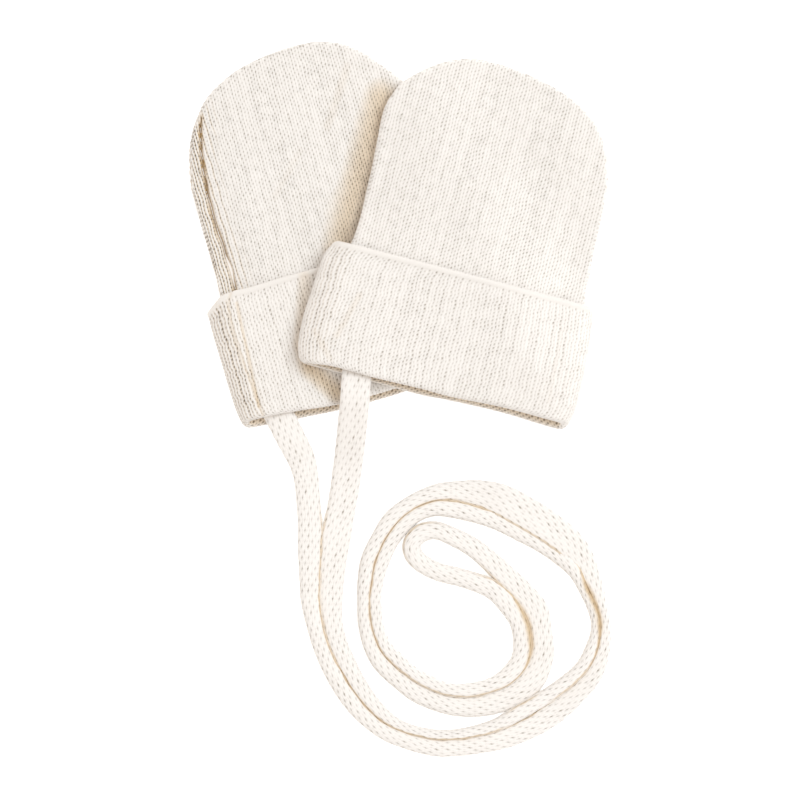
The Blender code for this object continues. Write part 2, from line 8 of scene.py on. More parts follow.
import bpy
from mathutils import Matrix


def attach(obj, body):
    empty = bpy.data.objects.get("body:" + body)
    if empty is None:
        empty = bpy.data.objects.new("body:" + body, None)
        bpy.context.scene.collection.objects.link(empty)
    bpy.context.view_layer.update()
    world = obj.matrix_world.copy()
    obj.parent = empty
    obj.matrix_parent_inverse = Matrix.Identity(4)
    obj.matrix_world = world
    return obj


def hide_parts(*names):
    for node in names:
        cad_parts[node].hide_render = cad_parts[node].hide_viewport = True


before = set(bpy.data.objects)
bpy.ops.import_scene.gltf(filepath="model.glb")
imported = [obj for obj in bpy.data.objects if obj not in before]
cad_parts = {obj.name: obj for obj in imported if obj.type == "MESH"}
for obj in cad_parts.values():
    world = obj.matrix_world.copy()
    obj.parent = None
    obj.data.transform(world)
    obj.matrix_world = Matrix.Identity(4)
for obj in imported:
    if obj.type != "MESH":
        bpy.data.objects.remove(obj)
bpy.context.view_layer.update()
print("nodes:", sorted(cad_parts))

# %% Libraries and units
import math

import bmesh
import bpy
import numpy as np

MM = 0.001
ROOT = "root"

# %% [markdown]
# ## The camera
#
# The photograph looks straight down on the table. A long lens keeps the thick parts from leaning
# outwards. One picture unit is 0.34 mm on the real thing, a size that comes from counting stitches.

# %% Camera
PICTURE = 800  # picture units across
SCALE = 0.34 * MM  # real size of one picture unit
LOOK_AT = (0.5 * MM, -56.3 * MM)
SHARP_HEIGHT = 8.0 * MM  # the picture's scale is exact at this height
LENS = 200.0
SENSOR = 36.0

camera = bpy.data.objects.new("camera", bpy.data.cameras.new("camera"))
camera.data.lens = LENS
camera.data.sensor_width = SENSOR
camera.data.clip_end = 20.0
camera.location = (*LOOK_AT, SHARP_HEIGHT + PICTURE * SCALE * LENS / SENSOR)
bpy.context.scene.collection.objects.link(camera)
bpy.context.scene.camera = camera
print("camera height, in m:", round(camera.location.z, 3))

# %% [markdown]
# ## Light and floor
#
# The photograph is a bright catalogue picture: a large soft light from the upper right, and a
# white table without shade. In the picture, lit cloth is nearly neutral and shade is much warmer.
# A cool main light and a warm room give that, since shade gets its light from the room alone.

# %% Colours and nodes
def linear(code):
    """A hex colour as the eye sees it, turned to linear light by the sRGB curve."""
    values = np.array([int(code[k : k + 2], 16) for k in (0, 2, 4)]) / 255
    return np.where(values <= 0.04045, values / 12.92, ((values + 0.055) / 1.055) ** 2.4)


def fill(tree, made, inputs):
    """Fills or links the inputs of a node, by name or number."""
    for place, value in inputs.items():
        if isinstance(value, bpy.types.NodeSocket):
            tree.links.new(value, made.inputs[place])
        else:
            made.inputs[place].default_value = value


def node(tree, kind, inputs=None, **settings):
    """Adds a node, sets its options and fills its inputs."""
    made = tree.nodes.new(kind)
    for option, value in settings.items():
        setattr(made, option, value)
    fill(tree, made, inputs or {})
    return made


# %% Lights
KEY_PLACE = (1.6, 0.75, 3.0)  # in metres, to the upper right of the picture
KEY_SIZE = 1.8
KEY_POWER = 56.0
KEY_COLOUR = "ECF6FF"
ROOM_LIGHT = 0.87
ROOM_COLOUR = "FFF9F4"


def area_light(name, place, size, power, code):
    """A square soft light that points at the middle of the picture."""
    lamp = bpy.data.objects.new(name, bpy.data.lights.new(name, "AREA"))
    lamp.data.shape = "SQUARE"
    lamp.data.size = size
    lamp.data.energy = power
    lamp.data.color = linear(code)
    lamp.location = place
    away = lamp.location - camera.location
    away.z = lamp.location.z
    lamp.rotation_euler = away.to_track_quat("Z", "Y").to_euler()
    lamp.visible_camera = False
    bpy.context.scene.collection.objects.link(lamp)
    return lamp


area_light("key_softbox", KEY_PLACE, KEY_SIZE, KEY_POWER, KEY_COLOUR)
room = bpy.data.worlds.new("room")
room.use_nodes = True
room.node_tree.nodes["Background"].inputs["Color"].default_value = (*linear(ROOM_COLOUR), 1.0)
room.node_tree.nodes["Background"].inputs["Strength"].default_value = ROOM_LIGHT
bpy.context.scene.world = room
bpy.context.scene.view_settings.view_transform = "Standard"

# %% Floor
# The table is white acrylic lit from below, which keeps it white beside the cloth and fills the
# cord's sides with light.
FLOOR_HALF = 6.0
FLOOR_DROP = 0.05 * MM
FLOOR_GLOW = 0.5
FLOOR_COLOUR = "F7F7F7"
FLOOR_ROUGHNESS = 0.8

corners = np.array([(-1, -1), (1, -1), (1, 1), (-1, 1)]) * FLOOR_HALF
floor_mesh = bpy.data.meshes.new("floor")
floor_mesh.from_pydata([(x, y, -FLOOR_DROP) for x, y in corners.tolist()], [], [(0, 1, 2, 3)])
floor = bpy.data.objects.new("floor", floor_mesh)
bpy.context.scene.collection.objects.link(floor)
acrylic = bpy.data.materials.new("white_acrylic")
acrylic.use_nodes = True
acrylic_shader = acrylic.node_tree.nodes["Principled BSDF"]
acrylic_shader.inputs["Base Color"].default_value = (*linear(FLOOR_COLOUR), 1.0)
acrylic_shader.inputs["Roughness"].default_value = FLOOR_ROUGHNESS
acrylic_shader.inputs["Emission Color"].default_value = (1.0, 1.0, 1.0, 1.0)
acrylic_shader.inputs["Emission Strength"].default_value = FLOOR_GLOW
floor_mesh.materials.append(acrylic)
print("floor drop, in mm:", FLOOR_DROP / MM)

# %% [markdown]
# ## Tools for shaping
#
# Every piece is one grid of points, worked out as whole arrays: rows run along the piece and
# columns round it. These helpers draw smooth lines through a few measured points, find how far a
# point is from an outline, and turn a finished grid into a mesh.

# %% Smooth lines
def table(rows):
    """A table in millimetres as an array in metres."""
    return np.array(rows, float) * MM


def smooth(t):
    """Zero below 0, one above 1, and the soft S of 3 t squared less 2 t cubed between."""
    t = np.clip(t, 0.0, 1.0)
    return t * t * (3.0 - 2.0 * t)


def smooth_line(points, per_span):
    """A curve through all points. Each span is the Catmull-Rom cubic of its four nearest points."""
    whole = np.concatenate([2 * points[:1] - points[1:2], points, 2 * points[-1:] - points[-2:-1]])
    a, b, c, d = (whole[k : len(whole) - 3 + k, None, :] for k in range(4))
    t = np.linspace(0.0, 1.0, per_span, endpoint=False)[None, :, None]
    spans = b + 0.5 * t * (c - a + t * (2 * a - 5 * b + 4 * c - d + t * (3 * (b - c) + d - a)))
    return np.concatenate([spans.reshape(-1, points.shape[1]), points[-1:]])


def running(points):
    """Length along a line of points, from its start to each point."""
    return np.concatenate([[0.0], np.cumsum(np.linalg.norm(np.diff(points, axis=0), axis=1))])


def bell(distance, width):
    """One at distance 0, falling to nothing by the exponential of minus (distance / width) squared."""
    return np.exp(-((distance / width) ** 2))


# %% Distances
def to_segment(u, v, a, b, c, d):
    """Distance from each point (u, v) to the straight line between (a, b) and (c, d)."""
    du, dv = c - a, d - b
    t = np.clip(((u - a) * du + (v - b) * dv) / (du**2 + dv**2), 0.0, 1.0)
    return np.hypot(u - a - t * du, v - b - t * dv)


def nearest(path, u, v):
    """Distance from each point (u, v) to a path, and the unit direction to the path's left there."""
    best = np.full(np.shape(u), np.inf)
    left_u, left_v = np.zeros_like(best), np.zeros_like(best)
    for (a, b), (c, d) in zip(path[:-1], path[1:]):
        length = math.hypot(c - a, d - b)
        away = to_segment(u, v, a, b, c, d)
        closer = away < best
        best = np.where(closer, away, best)
        left_u = np.where(closer, (b - d) / length, left_u)
        left_v = np.where(closer, (c - a) / length, left_v)
    return best, left_u, left_v


def depth_inside(path, u, v):
    """Distance to a closed outline, positive inside.

    A point is inside if an odd number of the outline's crossings of its row lie on its right.
    """
    closed = np.concatenate([path, path[:1]])
    distance, _, _ = nearest(closed, u, v)
    inside = np.zeros(np.shape(u), bool)
    for (a, b), (c, d) in zip(closed[:-1], closed[1:]):
        if b != d:
            crossing = a + (v - b) / (d - b) * (c - a)
            inside ^= ((v > b) != (v > d)) & (u < crossing)
    return np.where(inside, distance, -distance)


# %% Uneven hand work
WAVER_LENGTH = 5.0 * MM
WAVER_WAVES = 6
WAVER_STRETCH = (0.6, 1.8)  # the shortest and longest wave, as shares of the length
FOLD_MOST = 0.85 * MM


def waver(u, v, seed):
    """A smooth uneven field from about -1 to 1: sine waves in random directions, added up."""
    rng = np.random.default_rng(seed)
    angles = rng.uniform(0, np.pi, WAVER_WAVES)
    starts = rng.uniform(0, 2 * np.pi, WAVER_WAVES)
    stretches = rng.uniform(*WAVER_STRETCH, WAVER_WAVES)
    total = np.zeros(np.broadcast_shapes(np.shape(u), np.shape(v)))
    for angle, start, stretch in zip(angles, starts, stretches):
        k = 2 * np.pi / (WAVER_LENGTH * stretch)
        total += np.sin(k * (u * math.cos(angle) + v * math.sin(angle)) + start)
    return total / (0.5 * WAVER_WAVES)


def fold_height(folds, u, v, upper):
    """Soft troughs and ridges: each is a bell across its line and fades round its ends.

    Where troughs meet, the cloth goes down no further than FOLD_MOST, so its inside stays hidden.
    """
    total = np.zeros(np.shape(u))
    for face, a, b, c, d, width, rise in folds:
        away = to_segment(u, v, a * MM, b * MM, c * MM, d * MM)
        total += np.where(upper == face, rise * MM * bell(away, width * MM), 0.0)
    return np.maximum(total, -FOLD_MOST)


# %% Grids to meshes
MERGE = 0.002 * MM


def unit(vectors):
    """Vectors of length one."""
    return vectors / np.maximum(np.linalg.norm(vectors, axis=-1, keepdims=True), 1e-12)


def grid_normals(points, closed_rows):
    """Unit normals of a grid whose columns close into rings: one grid direction cross the other."""
    across = np.roll(points, -1, axis=1) - np.roll(points, 1, axis=1)
    if closed_rows:
        along = np.roll(points, -1, axis=0) - np.roll(points, 1, axis=0)
    else:
        along = np.gradient(points, axis=0)
    return unit(np.cross(across, along))


def grid_faces(rows, columns, closed_rows, open_after):
    """The four corners (row, column) of each face. None lie between row open_after and the next."""
    strips = np.arange(rows if closed_rows else rows - 1)
    strips = strips[strips != open_after]
    i, j = np.meshgrid(strips, np.arange(columns), indexing="ij")
    return [(i, j), (i, j + 1), (i + 1, j + 1), (i + 1, j)]


def volume_sign(points, faces):
    """1 if the faces turn outwards and -1 if inwards: the sum of each face's pyramid from the origin."""
    a, b, c, d = (points.reshape(-1, 3)[faces[..., k]] for k in range(4))
    return np.sign((np.cross(b - a, c - a) * a).sum() + (np.cross(c - a, d - a) * a).sum())


def keep_marks(mesh, pattern, marks):
    """Keeps the pattern's place as a UV map, and both marks of painted shade as attributes for the
    material.
    """
    mesh.uv_layers.new(name="stitches").data.foreach_set("uv", pattern.astype(np.float32).ravel())
    for name, values in zip(("pinhole", "groove"), marks):
        kept = mesh.attributes.new(name, "FLOAT", "POINT")
        kept.data.foreach_set("value", values.astype(np.float32).ravel())


def merge_points(mesh):
    """Merges the points that fall together."""
    work = bmesh.new()
    work.from_mesh(mesh)
    bmesh.ops.remove_doubles(work, verts=work.verts, dist=MERGE)
    work.to_mesh(mesh)
    work.free()


def knit_mesh(name, points, stitches, marks, closed_rows=False, open_after=None):
    """A smooth mesh from a grid (rows, columns, 3) whose columns close into rings.

    stitches is the pattern's place (wales, courses) at each corner, kept as a UV map. It has one
    column more than the points, and one row more if the rows close too. marks are two values of
    painted shade at each point, kept as attributes for the material. Points that fall together merge.
    """
    rows, columns = points.shape[:2]
    corners = grid_faces(rows, columns, closed_rows, open_after)
    faces = np.stack([(a % rows) * columns + b % columns for a, b in corners], axis=-1)
    pattern = np.stack([stitches[a, b] for a, b in corners], axis=-2)
    if volume_sign(points, faces) < 0.0:
        faces, pattern = faces[..., ::-1], pattern[..., ::-1, :]
    mesh = bpy.data.meshes.new(name)
    mesh.from_pydata(points.reshape(-1, 3).tolist(), [], faces.reshape(-1, 4).tolist())
    keep_marks(mesh, pattern, marks)
    merge_points(mesh)
    mesh.shade_smooth()
    piece = bpy.data.objects.new(name, mesh)
    bpy.context.scene.collection.objects.link(piece)
    triangles = sum(len(face.vertices) - 2 for face in mesh.polygons)
    print(name, "triangles:", triangles, "top in mm:", round(points[..., 2].max() / MM, 1))
    return piece


def hand_over(piece, node_name):
    """Puts a finished piece in the place of its solid."""
    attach(piece, ROOT)
    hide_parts(node_name)
    return piece


# %% [markdown]
# ## The stitch
#
# Stocking stitch is rows of V-shaped loops. A column of loops is a wale and a row is a course. Each
# loop's two legs lean outwards as they rise, and a pinhole opens at the foot of every V and half a
# course higher between the wales. No two pinholes are alike, because the yarn is soft. One formula
# gives the height of the cloth and the depth of the pinholes.

# %% Stitch relief
LEG_RISE = 1.5  # courses that a leg climbs from the middle of its wale to the edge
LEG_SHARE = 0.6  # the rest of the relief is the ripple along each leg
RIPPLE_LEAST = 0.4  # share of the ripple that is left at the edge of a leg
HOLE_ALONG = 3.6  # higher powers make the holes shorter and narrower
HOLE_ACROSS = 1.2
HOLE_LEAST = 0.58  # depth of the shallowest pinholes, as a share of a full one
HOLE_SPREAD = 0.72  # and the deepest have this much more, at random
COLUMN_SPREAD = 0.6  # how much the columns of pinholes differ from each other
LOW_SHADE = 0.19  # painted shade: how dark the low places between the legs are, as pinholes go
VALLEY_SHARE = 0.6  # the part of that between the wales, and the rest is wherever the loops are low
HOLE_REPEAT = 64  # wales and courses after which the random depths repeat
HOLE_TABLE = np.random.default_rng(7).random((HOLE_REPEAT, HOLE_REPEAT))


def hole_strength(column, row, middle_holes):
    """How deep a pinhole is, from a table that repeats. column counts half wales."""
    strength = HOLE_LEAST + HOLE_SPREAD * HOLE_TABLE[column % HOLE_REPEAT, row % HOLE_REPEAT]
    strength = strength * (1.0 + COLUMN_SPREAD * (HOLE_TABLE[column % HOLE_REPEAT, 0] - 0.5))
    return np.where(column % 2 == 0, middle_holes * strength, strength)


def stitches_at(wales, courses, middle_holes):
    """Height of the loops from 0 to 1, depth of the pinholes, side, and painted shade of the valleys.

    side is 0 in the middle of a wale and 1 between two wales. The legs are highest half way, where
    bulge is 1. Along a leg the phase is courses - LEG_RISE * side, and the cosine of the phase is
    the ripple. A hole is where the ripple is low at side 0 or 1. middle_holes is the strength of
    those at side 0.
    """
    side = 2.0 * np.abs(wales - np.round(wales))
    bulge = 1.0 - (2.0 * side - 1.0) ** 2
    phase = courses - LEG_RISE * side
    ripple = 0.5 + 0.5 * np.cos(2.0 * np.pi * phase)
    along_leg = ripple * (RIPPLE_LEAST + (1.0 - RIPPLE_LEAST) * bulge)
    legs = LEG_SHARE * bulge + (1.0 - LEG_SHARE) * along_leg
    column, row = np.round(2.0 * wales).astype(int), np.floor(phase).astype(int)
    strength = hole_strength(column, row, middle_holes)
    hole = strength * (1.0 - ripple) ** HOLE_ALONG * np.abs(2.0 * side - 1.0) ** HOLE_ACROSS
    low = LOW_SHADE * (VALLEY_SHARE * (1.0 - bulge) + (1.0 - VALLEY_SHARE) * (1.0 - legs))
    return legs, hole, side, low


# %% [markdown]
# ## The cord
#
# A flat knitted tube, 10 mm wide and 3 mm thick. It is made as a section carried along the route.
# The route's points were chosen one by one over the photograph: where each lies, how wide the cord
# looks there, and how high its underside is. Where it looks narrow the soft tube has opened, so it
# is thicker there. Strands side by side press into each other, and the line between them is dark.

# %% Cord route
CORD_WIDTH = 10.2 * MM
CORD_THICKNESS = 3.0 * MM
# A row per point, in millimetres: x, y, width seen from above, height of the underside.
CORD_ROUTE = [
    (-43.4, -56.6, 10.2, 4.0), (-41.3, -60.4, 10.2, 4.1), (-39.1, -64.4, 10.2, 4.8),
    (-36.2, -70.2, 10.2, 4.2), (-33.2, -76.3, 9.7, 1.4), (-31.5, -82.8, 8.8, 0.3),
    (-30.8, -90.3, 8.5, 0.3), (-30.4, -97.8, 8.2, 0.3), (-30.4, -106.6, 8.2, 0.3),
    (-30.3, -115.4, 7.5, 0.3), (-30.1, -124.3, 6.8, 0.3), (-28.7, -132.8, 5.8, 0.3),
    (-25.7, -142.3, 5.8, 0.3), (-21.2, -151.5, 6.1, 0.3), (-15.8, -159.6, 6.1, 0.3),
    (-9.7, -165.8, 5.8, 0.3), (-2.2, -170.5, 6.1, 0.3), (10.7, -174.6, 6.1, 0.3),
    (19.2, -174.9, 6.1, 0.3), (27.7, -173.9, 6.1, 0.3), (36.2, -171.9, 6.8, 0.3),
    (44.7, -168.5, 7.1, 0.3), (52.5, -163.7, 7.8, 0.3), (60.0, -157.6, 6.8, 0.3),
    (66.5, -150.5, 5.8, 0.3), (69.9, -142.0, 4.8, 0.3), (70.6, -134.5, 4.1, 0.3),
    (69.9, -128.7, 4.1, 0.3), (67.8, -121.6, 5.4, 0.6), (64.1, -113.4, 8.2, 1.8),
    (59.0, -105.9, 10.5, 3.4), (51.9, -100.1, 11.2, 3.7), (43.7, -95.0, 11.6, 3.6),
    (35.5, -90.6, 11.2, 3.2), (27.7, -88.2, 9.5, 1.8), (19.2, -87.2, 6.8, 0.4),
    (12.4, -87.9, 5.8, 0.3), (4.2, -91.3, 5.1, 0.3), (-2.6, -96.7, 5.4, 0.3),
    (-7.0, -103.2, 4.8, 0.3), (-10.4, -110.7, 5.1, 0.3), (-11.7, -118.2, 4.8, 0.3),
    (-12.1, -125.3, 4.1, 0.3), (-11.7, -132.8, 4.4, 0.3), (-9.4, -140.6, 5.1, 0.3),
    (-5.6, -146.7, 5.8, 0.3), (0.9, -152.5, 6.1, 0.3), (7.0, -156.6, 6.8, 0.3),
    (15.8, -160.0, 6.8, 0.3), (24.3, -161.0, 7.1, 0.3), (32.8, -159.6, 7.8, 0.3),
    (40.6, -156.2, 8.2, 0.3), (46.4, -150.8, 8.5, 0.3), (49.1, -143.0, 8.2, 0.3),
    (48.8, -135.2, 7.5, 0.3), (46.8, -127.7, 8.8, 0.3), (42.0, -121.6, 8.2, 0.3),
    (36.2, -115.8, 7.5, 0.3), (31.1, -111.0, 7.1, 0.3), (25.0, -106.3, 6.8, 0.4),
    (19.2, -103.2, 6.5, 1.0), (12.8, -100.8, 6.1, 1.6), (7.3, -102.2, 6.1, 1.8),
    (4.6, -105.9, 6.1, 1.8), (5.6, -109.7, 6.5, 1.2), (9.0, -112.7, 6.5, 0.5),
    (14.1, -115.1, 6.5, 0.3), (20.9, -116.8, 6.5, 0.3), (27.0, -118.8, 6.5, 0.3),
    (32.8, -121.6, 6.8, 0.3), (37.2, -126.0, 7.1, 0.3), (40.6, -131.8, 6.1, 0.3),
    (42.0, -138.2, 6.1, 0.3), (41.3, -144.7, 6.1, 0.3), (37.2, -150.1, 5.8, 0.3),
    (31.8, -153.2, 4.8, 0.3), (25.0, -154.9, 4.8, 0.3), (17.5, -154.9, 4.4, 0.3),
    (10.7, -152.5, 4.8, 0.3), (3.9, -148.4, 4.4, 0.3), (-0.9, -144.0, 4.8, 0.3),
    (-4.6, -139.6, 4.4, 0.3), (-7.0, -132.8, 4.1, 0.3), (-7.7, -125.3, 4.1, 0.3),
    (-7.0, -118.2, 4.1, 0.3), (-5.3, -111.4, 4.8, 0.3), (-2.6, -105.2, 4.8, 0.3),
    (1.2, -99.8, 5.1, 0.3), (6.3, -95.4, 5.1, 0.3), (12.4, -93.3, 5.4, 0.3),
    (19.2, -93.7, 6.1, 0.3), (27.7, -95.7, 6.1, 0.3), (34.5, -98.1, 6.1, 0.3),
    (41.3, -101.5, 6.1, 0.3), (49.1, -105.6, 6.1, 0.3), (55.9, -110.3, 6.1, 0.3),
    (60.4, -115.1, 5.1, 0.3), (63.1, -121.2, 3.4, 0.3), (65.8, -127.0, 3.4, 0.3),
    (67.2, -133.8, 3.1, 0.3), (65.5, -141.3, 4.1, 0.3), (62.1, -147.4, 4.1, 0.3),
    (56.6, -152.5, 4.4, 0.3), (49.8, -157.6, 4.8, 0.3), (42.0, -162.4, 5.1, 0.3),
    (34.5, -166.4, 4.1, 0.3), (27.0, -168.8, 3.7, 0.3), (19.2, -170.2, 3.4, 0.3),
    (12.4, -170.2, 3.4, 0.3), (4.6, -168.8, 3.7, 0.3), (-2.2, -165.8, 4.4, 0.3),
    (-8.3, -160.3, 5.1, 0.3), (-13.8, -152.8, 5.8, 0.3), (-17.9, -145.4, 6.5, 0.3),
    (-20.9, -138.6, 6.8, 0.3), (-22.6, -131.1, 7.1, 0.3), (-23.0, -124.3, 8.2, 0.3),
    (-22.6, -115.8, 8.8, 0.3), (-21.9, -109.0, 9.5, 0.3), (-20.9, -102.2, 9.9, 0.3),
    (-19.6, -94.4, 9.9, 0.3), (-18.2, -85.9, 10.2, 0.7), (-17.2, -78.4, 10.2, 2.4),
    (-16.2, -70.6, 10.2, 6.3), (-15.5, -63.8, 10.2, 10.5), (-14.8, -57.3, 10.2, 14.1),
    (-14.5, -52.2, 10.2, 15.2), (-14.2, -48.6, 10.2, 15.1), (-13.9, -45.8, 10.2, 15.0),
]
ROUTE_STEPS = 12  # points from one of the route to the next, before even steps are taken
CORD_WALES = 9  # wales round the cord
CORD_COURSE = 3.75 * MM
CORD_STEP = CORD_COURSE / 6
CORD_COLUMNS = 6 * CORD_WALES
CORD_OPEN = 6.0 * MM  # thickness where the soft tube is open
FLAT_FROM = 9.8 * MM  # the cord starts to open where it looks narrower than this
OPEN_AT = 5.0 * MM  # and is fully open here
TURN_REACH = 3.5 * MM  # it changes no faster than this
STRAND_APART = 20 * MM  # points nearer than this along the cord are the same strand
SLIT = 0.9 * MM  # strands closer than this touch
SLIT_FADE = 0.6 * MM
PRESSED = 1.0 * MM  # and are pressed into each other by this much


def soften(values, reach):
    """Each value replaced by the mean of its neighbours along the cord, weighted by a bell."""
    count = int(3 * reach / CORD_STEP)
    weights = bell(np.arange(-count, count + 1) * CORD_STEP, math.sqrt(2.0) * reach)
    padded = np.pad(values, count, mode="edge")
    return np.convolve(padded, weights / weights.sum(), mode="valid")


def close_slits(x, y, seen):
    """Lets strands that lie side by side touch, and press into each other a little.

    The slit between two strands is the distance of their lines less half of each width. Each strand
    reaches half way into it, so its width grows by half the slit and its line moves by a quarter.
    The last result is 1 where the other strand lies on the right, -1 on the left and 0 where none.
    """
    away = np.hypot(x[:, None] - x, y[:, None] - y)
    index = np.arange(len(x))
    away[np.abs(index[:, None] - index) * CORD_STEP < STRAND_APART] = np.inf
    slit = away - 0.5 * (seen[:, None] + seen)
    other = slit.argmin(axis=1)
    slit, away = slit[index, other], away[index, other]
    touch = 1.0 - smooth((slit - SLIT) / SLIT_FADE)
    slit = np.maximum(slit + PRESSED, 0.0) * touch
    to_x, to_y = (x[other] - x) / away, (y[other] - y) / away
    touch = touch * np.sign(to_x * np.gradient(y) - to_y * np.gradient(x))
    shift_x, shift_y = (soften(0.25 * slit * way, TURN_REACH) for way in (to_x, to_y))
    return x + shift_x, y + shift_y, seen + soften(0.5 * slit, TURN_REACH), soften(touch, TURN_REACH)


# %% Cord line
def cord_line():
    """The cord's centre line at even steps, its width and thickness, and where strands touch."""
    dense = smooth_line(table(CORD_ROUTE), ROUTE_STEPS)
    measure = running(dense[:, :2])
    at = np.arange(0.0, measure[-1], CORD_STEP)
    x, y, seen, underside = (np.interp(at, measure, dense[:, k]) for k in range(4))
    x, y, seen, touch = close_slits(x, y, seen)
    share = soften(smooth((FLAT_FROM - seen) / (FLAT_FROM - OPEN_AT)), TURN_REACH)
    thickness = CORD_THICKNESS + (CORD_OPEN - CORD_THICKNESS) * share
    centres = np.stack([x, y, underside + 0.5 * thickness], axis=1)
    return centres, seen, thickness, touch


cord_centres, cord_seen, cord_thickness, cord_touch = cord_line()

# %% Cord surface
SECTION_POWER = 3.0  # 2 is an ellipse, and more is squarer
SECTION_POINTS = 1441  # on the exact section, before even steps are taken
CORD_LEG = 0.18 * MM  # height of the legs
CORD_HOLE = 0.28 * MM  # depth of a full pinhole
CORD_LEAN = 0.1 * MM  # how far the loops lean sideways and back
CORD_WAVER = 0.15 * MM
# The line between two strands is partly real shade where they press into each other, and partly painted
# shade.
TOUCH_SHADE = 0.8  # painted shade: how far the line between two strands takes on the colour of deep cloth
TOUCH_WIDTH = 0.28 * MM
TOUCH_CORE_SHADE = 0.3  # painted shade: how dark it is in its middle, as pinholes go
# Where a strand sinks between others and the line of painted shade is wide, x and y in millimetres.
SHADE_WEDGES = [(43.5, -130.0), (44.5, -139.0), (64.0, -121.0), (67.5, -131.0)]
WEDGE_REACH = 6.0 * MM
WEDGE_SHARE = 3.0  # the painted shade line is wider there by this share
CORD_LOW_SHADE = 0.4  # the valleys' painted shade is fainter than in the mittens
CORD_SHADE = 0.7  # and so is all its painted shade in pinholes and valleys, because its two layers lie close together


def flat_section(width, thickness, columns):
    """Points at even steps round a superellipse: cosine and sine to the power 2 / SECTION_POWER."""
    angle = np.linspace(0.0, 2.0 * np.pi, SECTION_POINTS)
    cos, sin = np.cos(angle), np.sin(angle)
    p = 0.5 * width * np.sign(cos) * np.abs(cos) ** (2 / SECTION_POWER)
    q = 0.5 * thickness * np.sign(sin) * np.abs(sin) ** (2 / SECTION_POWER)
    measure = running(np.stack([p, q], axis=1))
    at = np.arange(columns) / columns * measure[-1]
    return np.stack([np.interp(at, measure, p), np.interp(at, measure, q)])


def cord_rings():
    """A flat section and an open one, mixed by the thickness and carried along the centre line.

    The second result is each point's distance to the right of the centre line.
    """
    forward = unit(np.gradient(cord_centres, axis=0))
    level = unit(np.cross([0.0, 0.0, 1.0], forward))
    upright = np.cross(forward, level)
    flat = flat_section(CORD_WIDTH, CORD_THICKNESS, CORD_COLUMNS) / [[CORD_WIDTH], [CORD_THICKNESS]]
    open_ = flat_section(OPEN_AT, CORD_OPEN, CORD_COLUMNS) / [[OPEN_AT], [CORD_OPEN]]
    share = ((cord_thickness - CORD_THICKNESS) / (CORD_OPEN - CORD_THICKNESS))[:, None]
    p, q = (flat[k] * (1.0 - share) + open_[k] * share for k in (0, 1))
    p, q = p * cord_seen[:, None], q * cord_thickness[:, None]
    return cord_centres[:, None] + p[..., None] * level[:, None] + q[..., None] * upright[:, None], -p


def touch_shade_line(right):
    """Strength of the painted shade line at the edge that touches another strand, wider at the wedges.
    """
    touch, edge = cord_touch[:, None], 0.5 * (cord_seen[:, None] - PRESSED)
    away = np.linalg.norm(cord_centres[:, None, :2] - np.array(SHADE_WEDGES) * MM, axis=2)
    wedge = bell(away, WEDGE_REACH).sum(axis=1)
    width = TOUCH_WIDTH * (1.0 + WEDGE_SHARE * wedge[:, None])
    return TOUCH_SHADE * np.abs(touch) * bell(right * np.sign(touch) - edge, width)


def raised(rings, relief, shift):
    """The rings moved outwards by the relief, and round the section by the shift."""
    normals = grid_normals(rings, False)
    outward = np.sign((normals * (rings - cord_centres[:, None])).sum())
    sideways = unit(np.roll(rings, -1, axis=1) - np.roll(rings, 1, axis=1))
    return rings + outward * relief[..., None] * normals + shift[..., None] * sideways


def capped(rows):
    """Rows with the first and the last once more, for the points that close the ends."""
    return np.concatenate([rows[:1], rows, rows[-1:]])


def cord_surface():
    """The rings with loops raised on them, a point to close each end, the pattern and its painted shade
    marks.

    The loops lean by a sideways shift of minus cosine of 2 pi wales times sine of 2 pi courses.
    """
    rings, right = cord_rings()
    wales = np.arange(CORD_COLUMNS + 1) / CORD_COLUMNS * CORD_WALES
    courses = np.arange(len(rings)) * CORD_STEP / CORD_COURSE
    stitches = np.stack(np.broadcast_arrays(wales[None, :], courses[:, None]), axis=-1)
    wales, courses = wales[None, :-1], courses[:, None]
    legs, hole, _, low = stitches_at(wales, courses, 1.0)
    relief = CORD_LEG * (legs - 1.0) - CORD_HOLE * hole
    uneven = waver(wales * CORD_COURSE, courses * CORD_COURSE, 5)
    lean = np.cos(2.0 * np.pi * wales) * np.sin(2.0 * np.pi * courses)
    rings = raised(rings, relief, CORD_WAVER * uneven - CORD_LEAN * lean)
    groove = touch_shade_line(right)
    caps = np.broadcast_to(cord_centres[[0, -1], None], (2, CORD_COLUMNS, 3))
    rings = np.concatenate([caps[:1], rings, caps[1:]])
    # Painted shade: pinholes, valleys and the line between strands are darker in the colour.
    dark = CORD_SHADE * (hole + CORD_LOW_SHADE * low) + TOUCH_CORE_SHADE * groove**2
    return rings, capped(stitches), (capped(dark), capped(groove))


cord = hand_over(knit_mesh("cord_knit", *cord_surface()), "cord")

# %% [markdown]
# ## The shape of a mitten
#
# Each mitten has a frame of its own: u runs across it, v runs from the mouth to the top, and z is
# height. The hand is a flat bag with rounded sides, and the cuff is a band round it that folds at
# the mouth and runs a little way up inside. The mouth's fold sags in the middle, more on the back
# than on the front, so a strip of the back shows below. The upper mitten is then lifted by a smooth
# base height where it lies on the lower one.

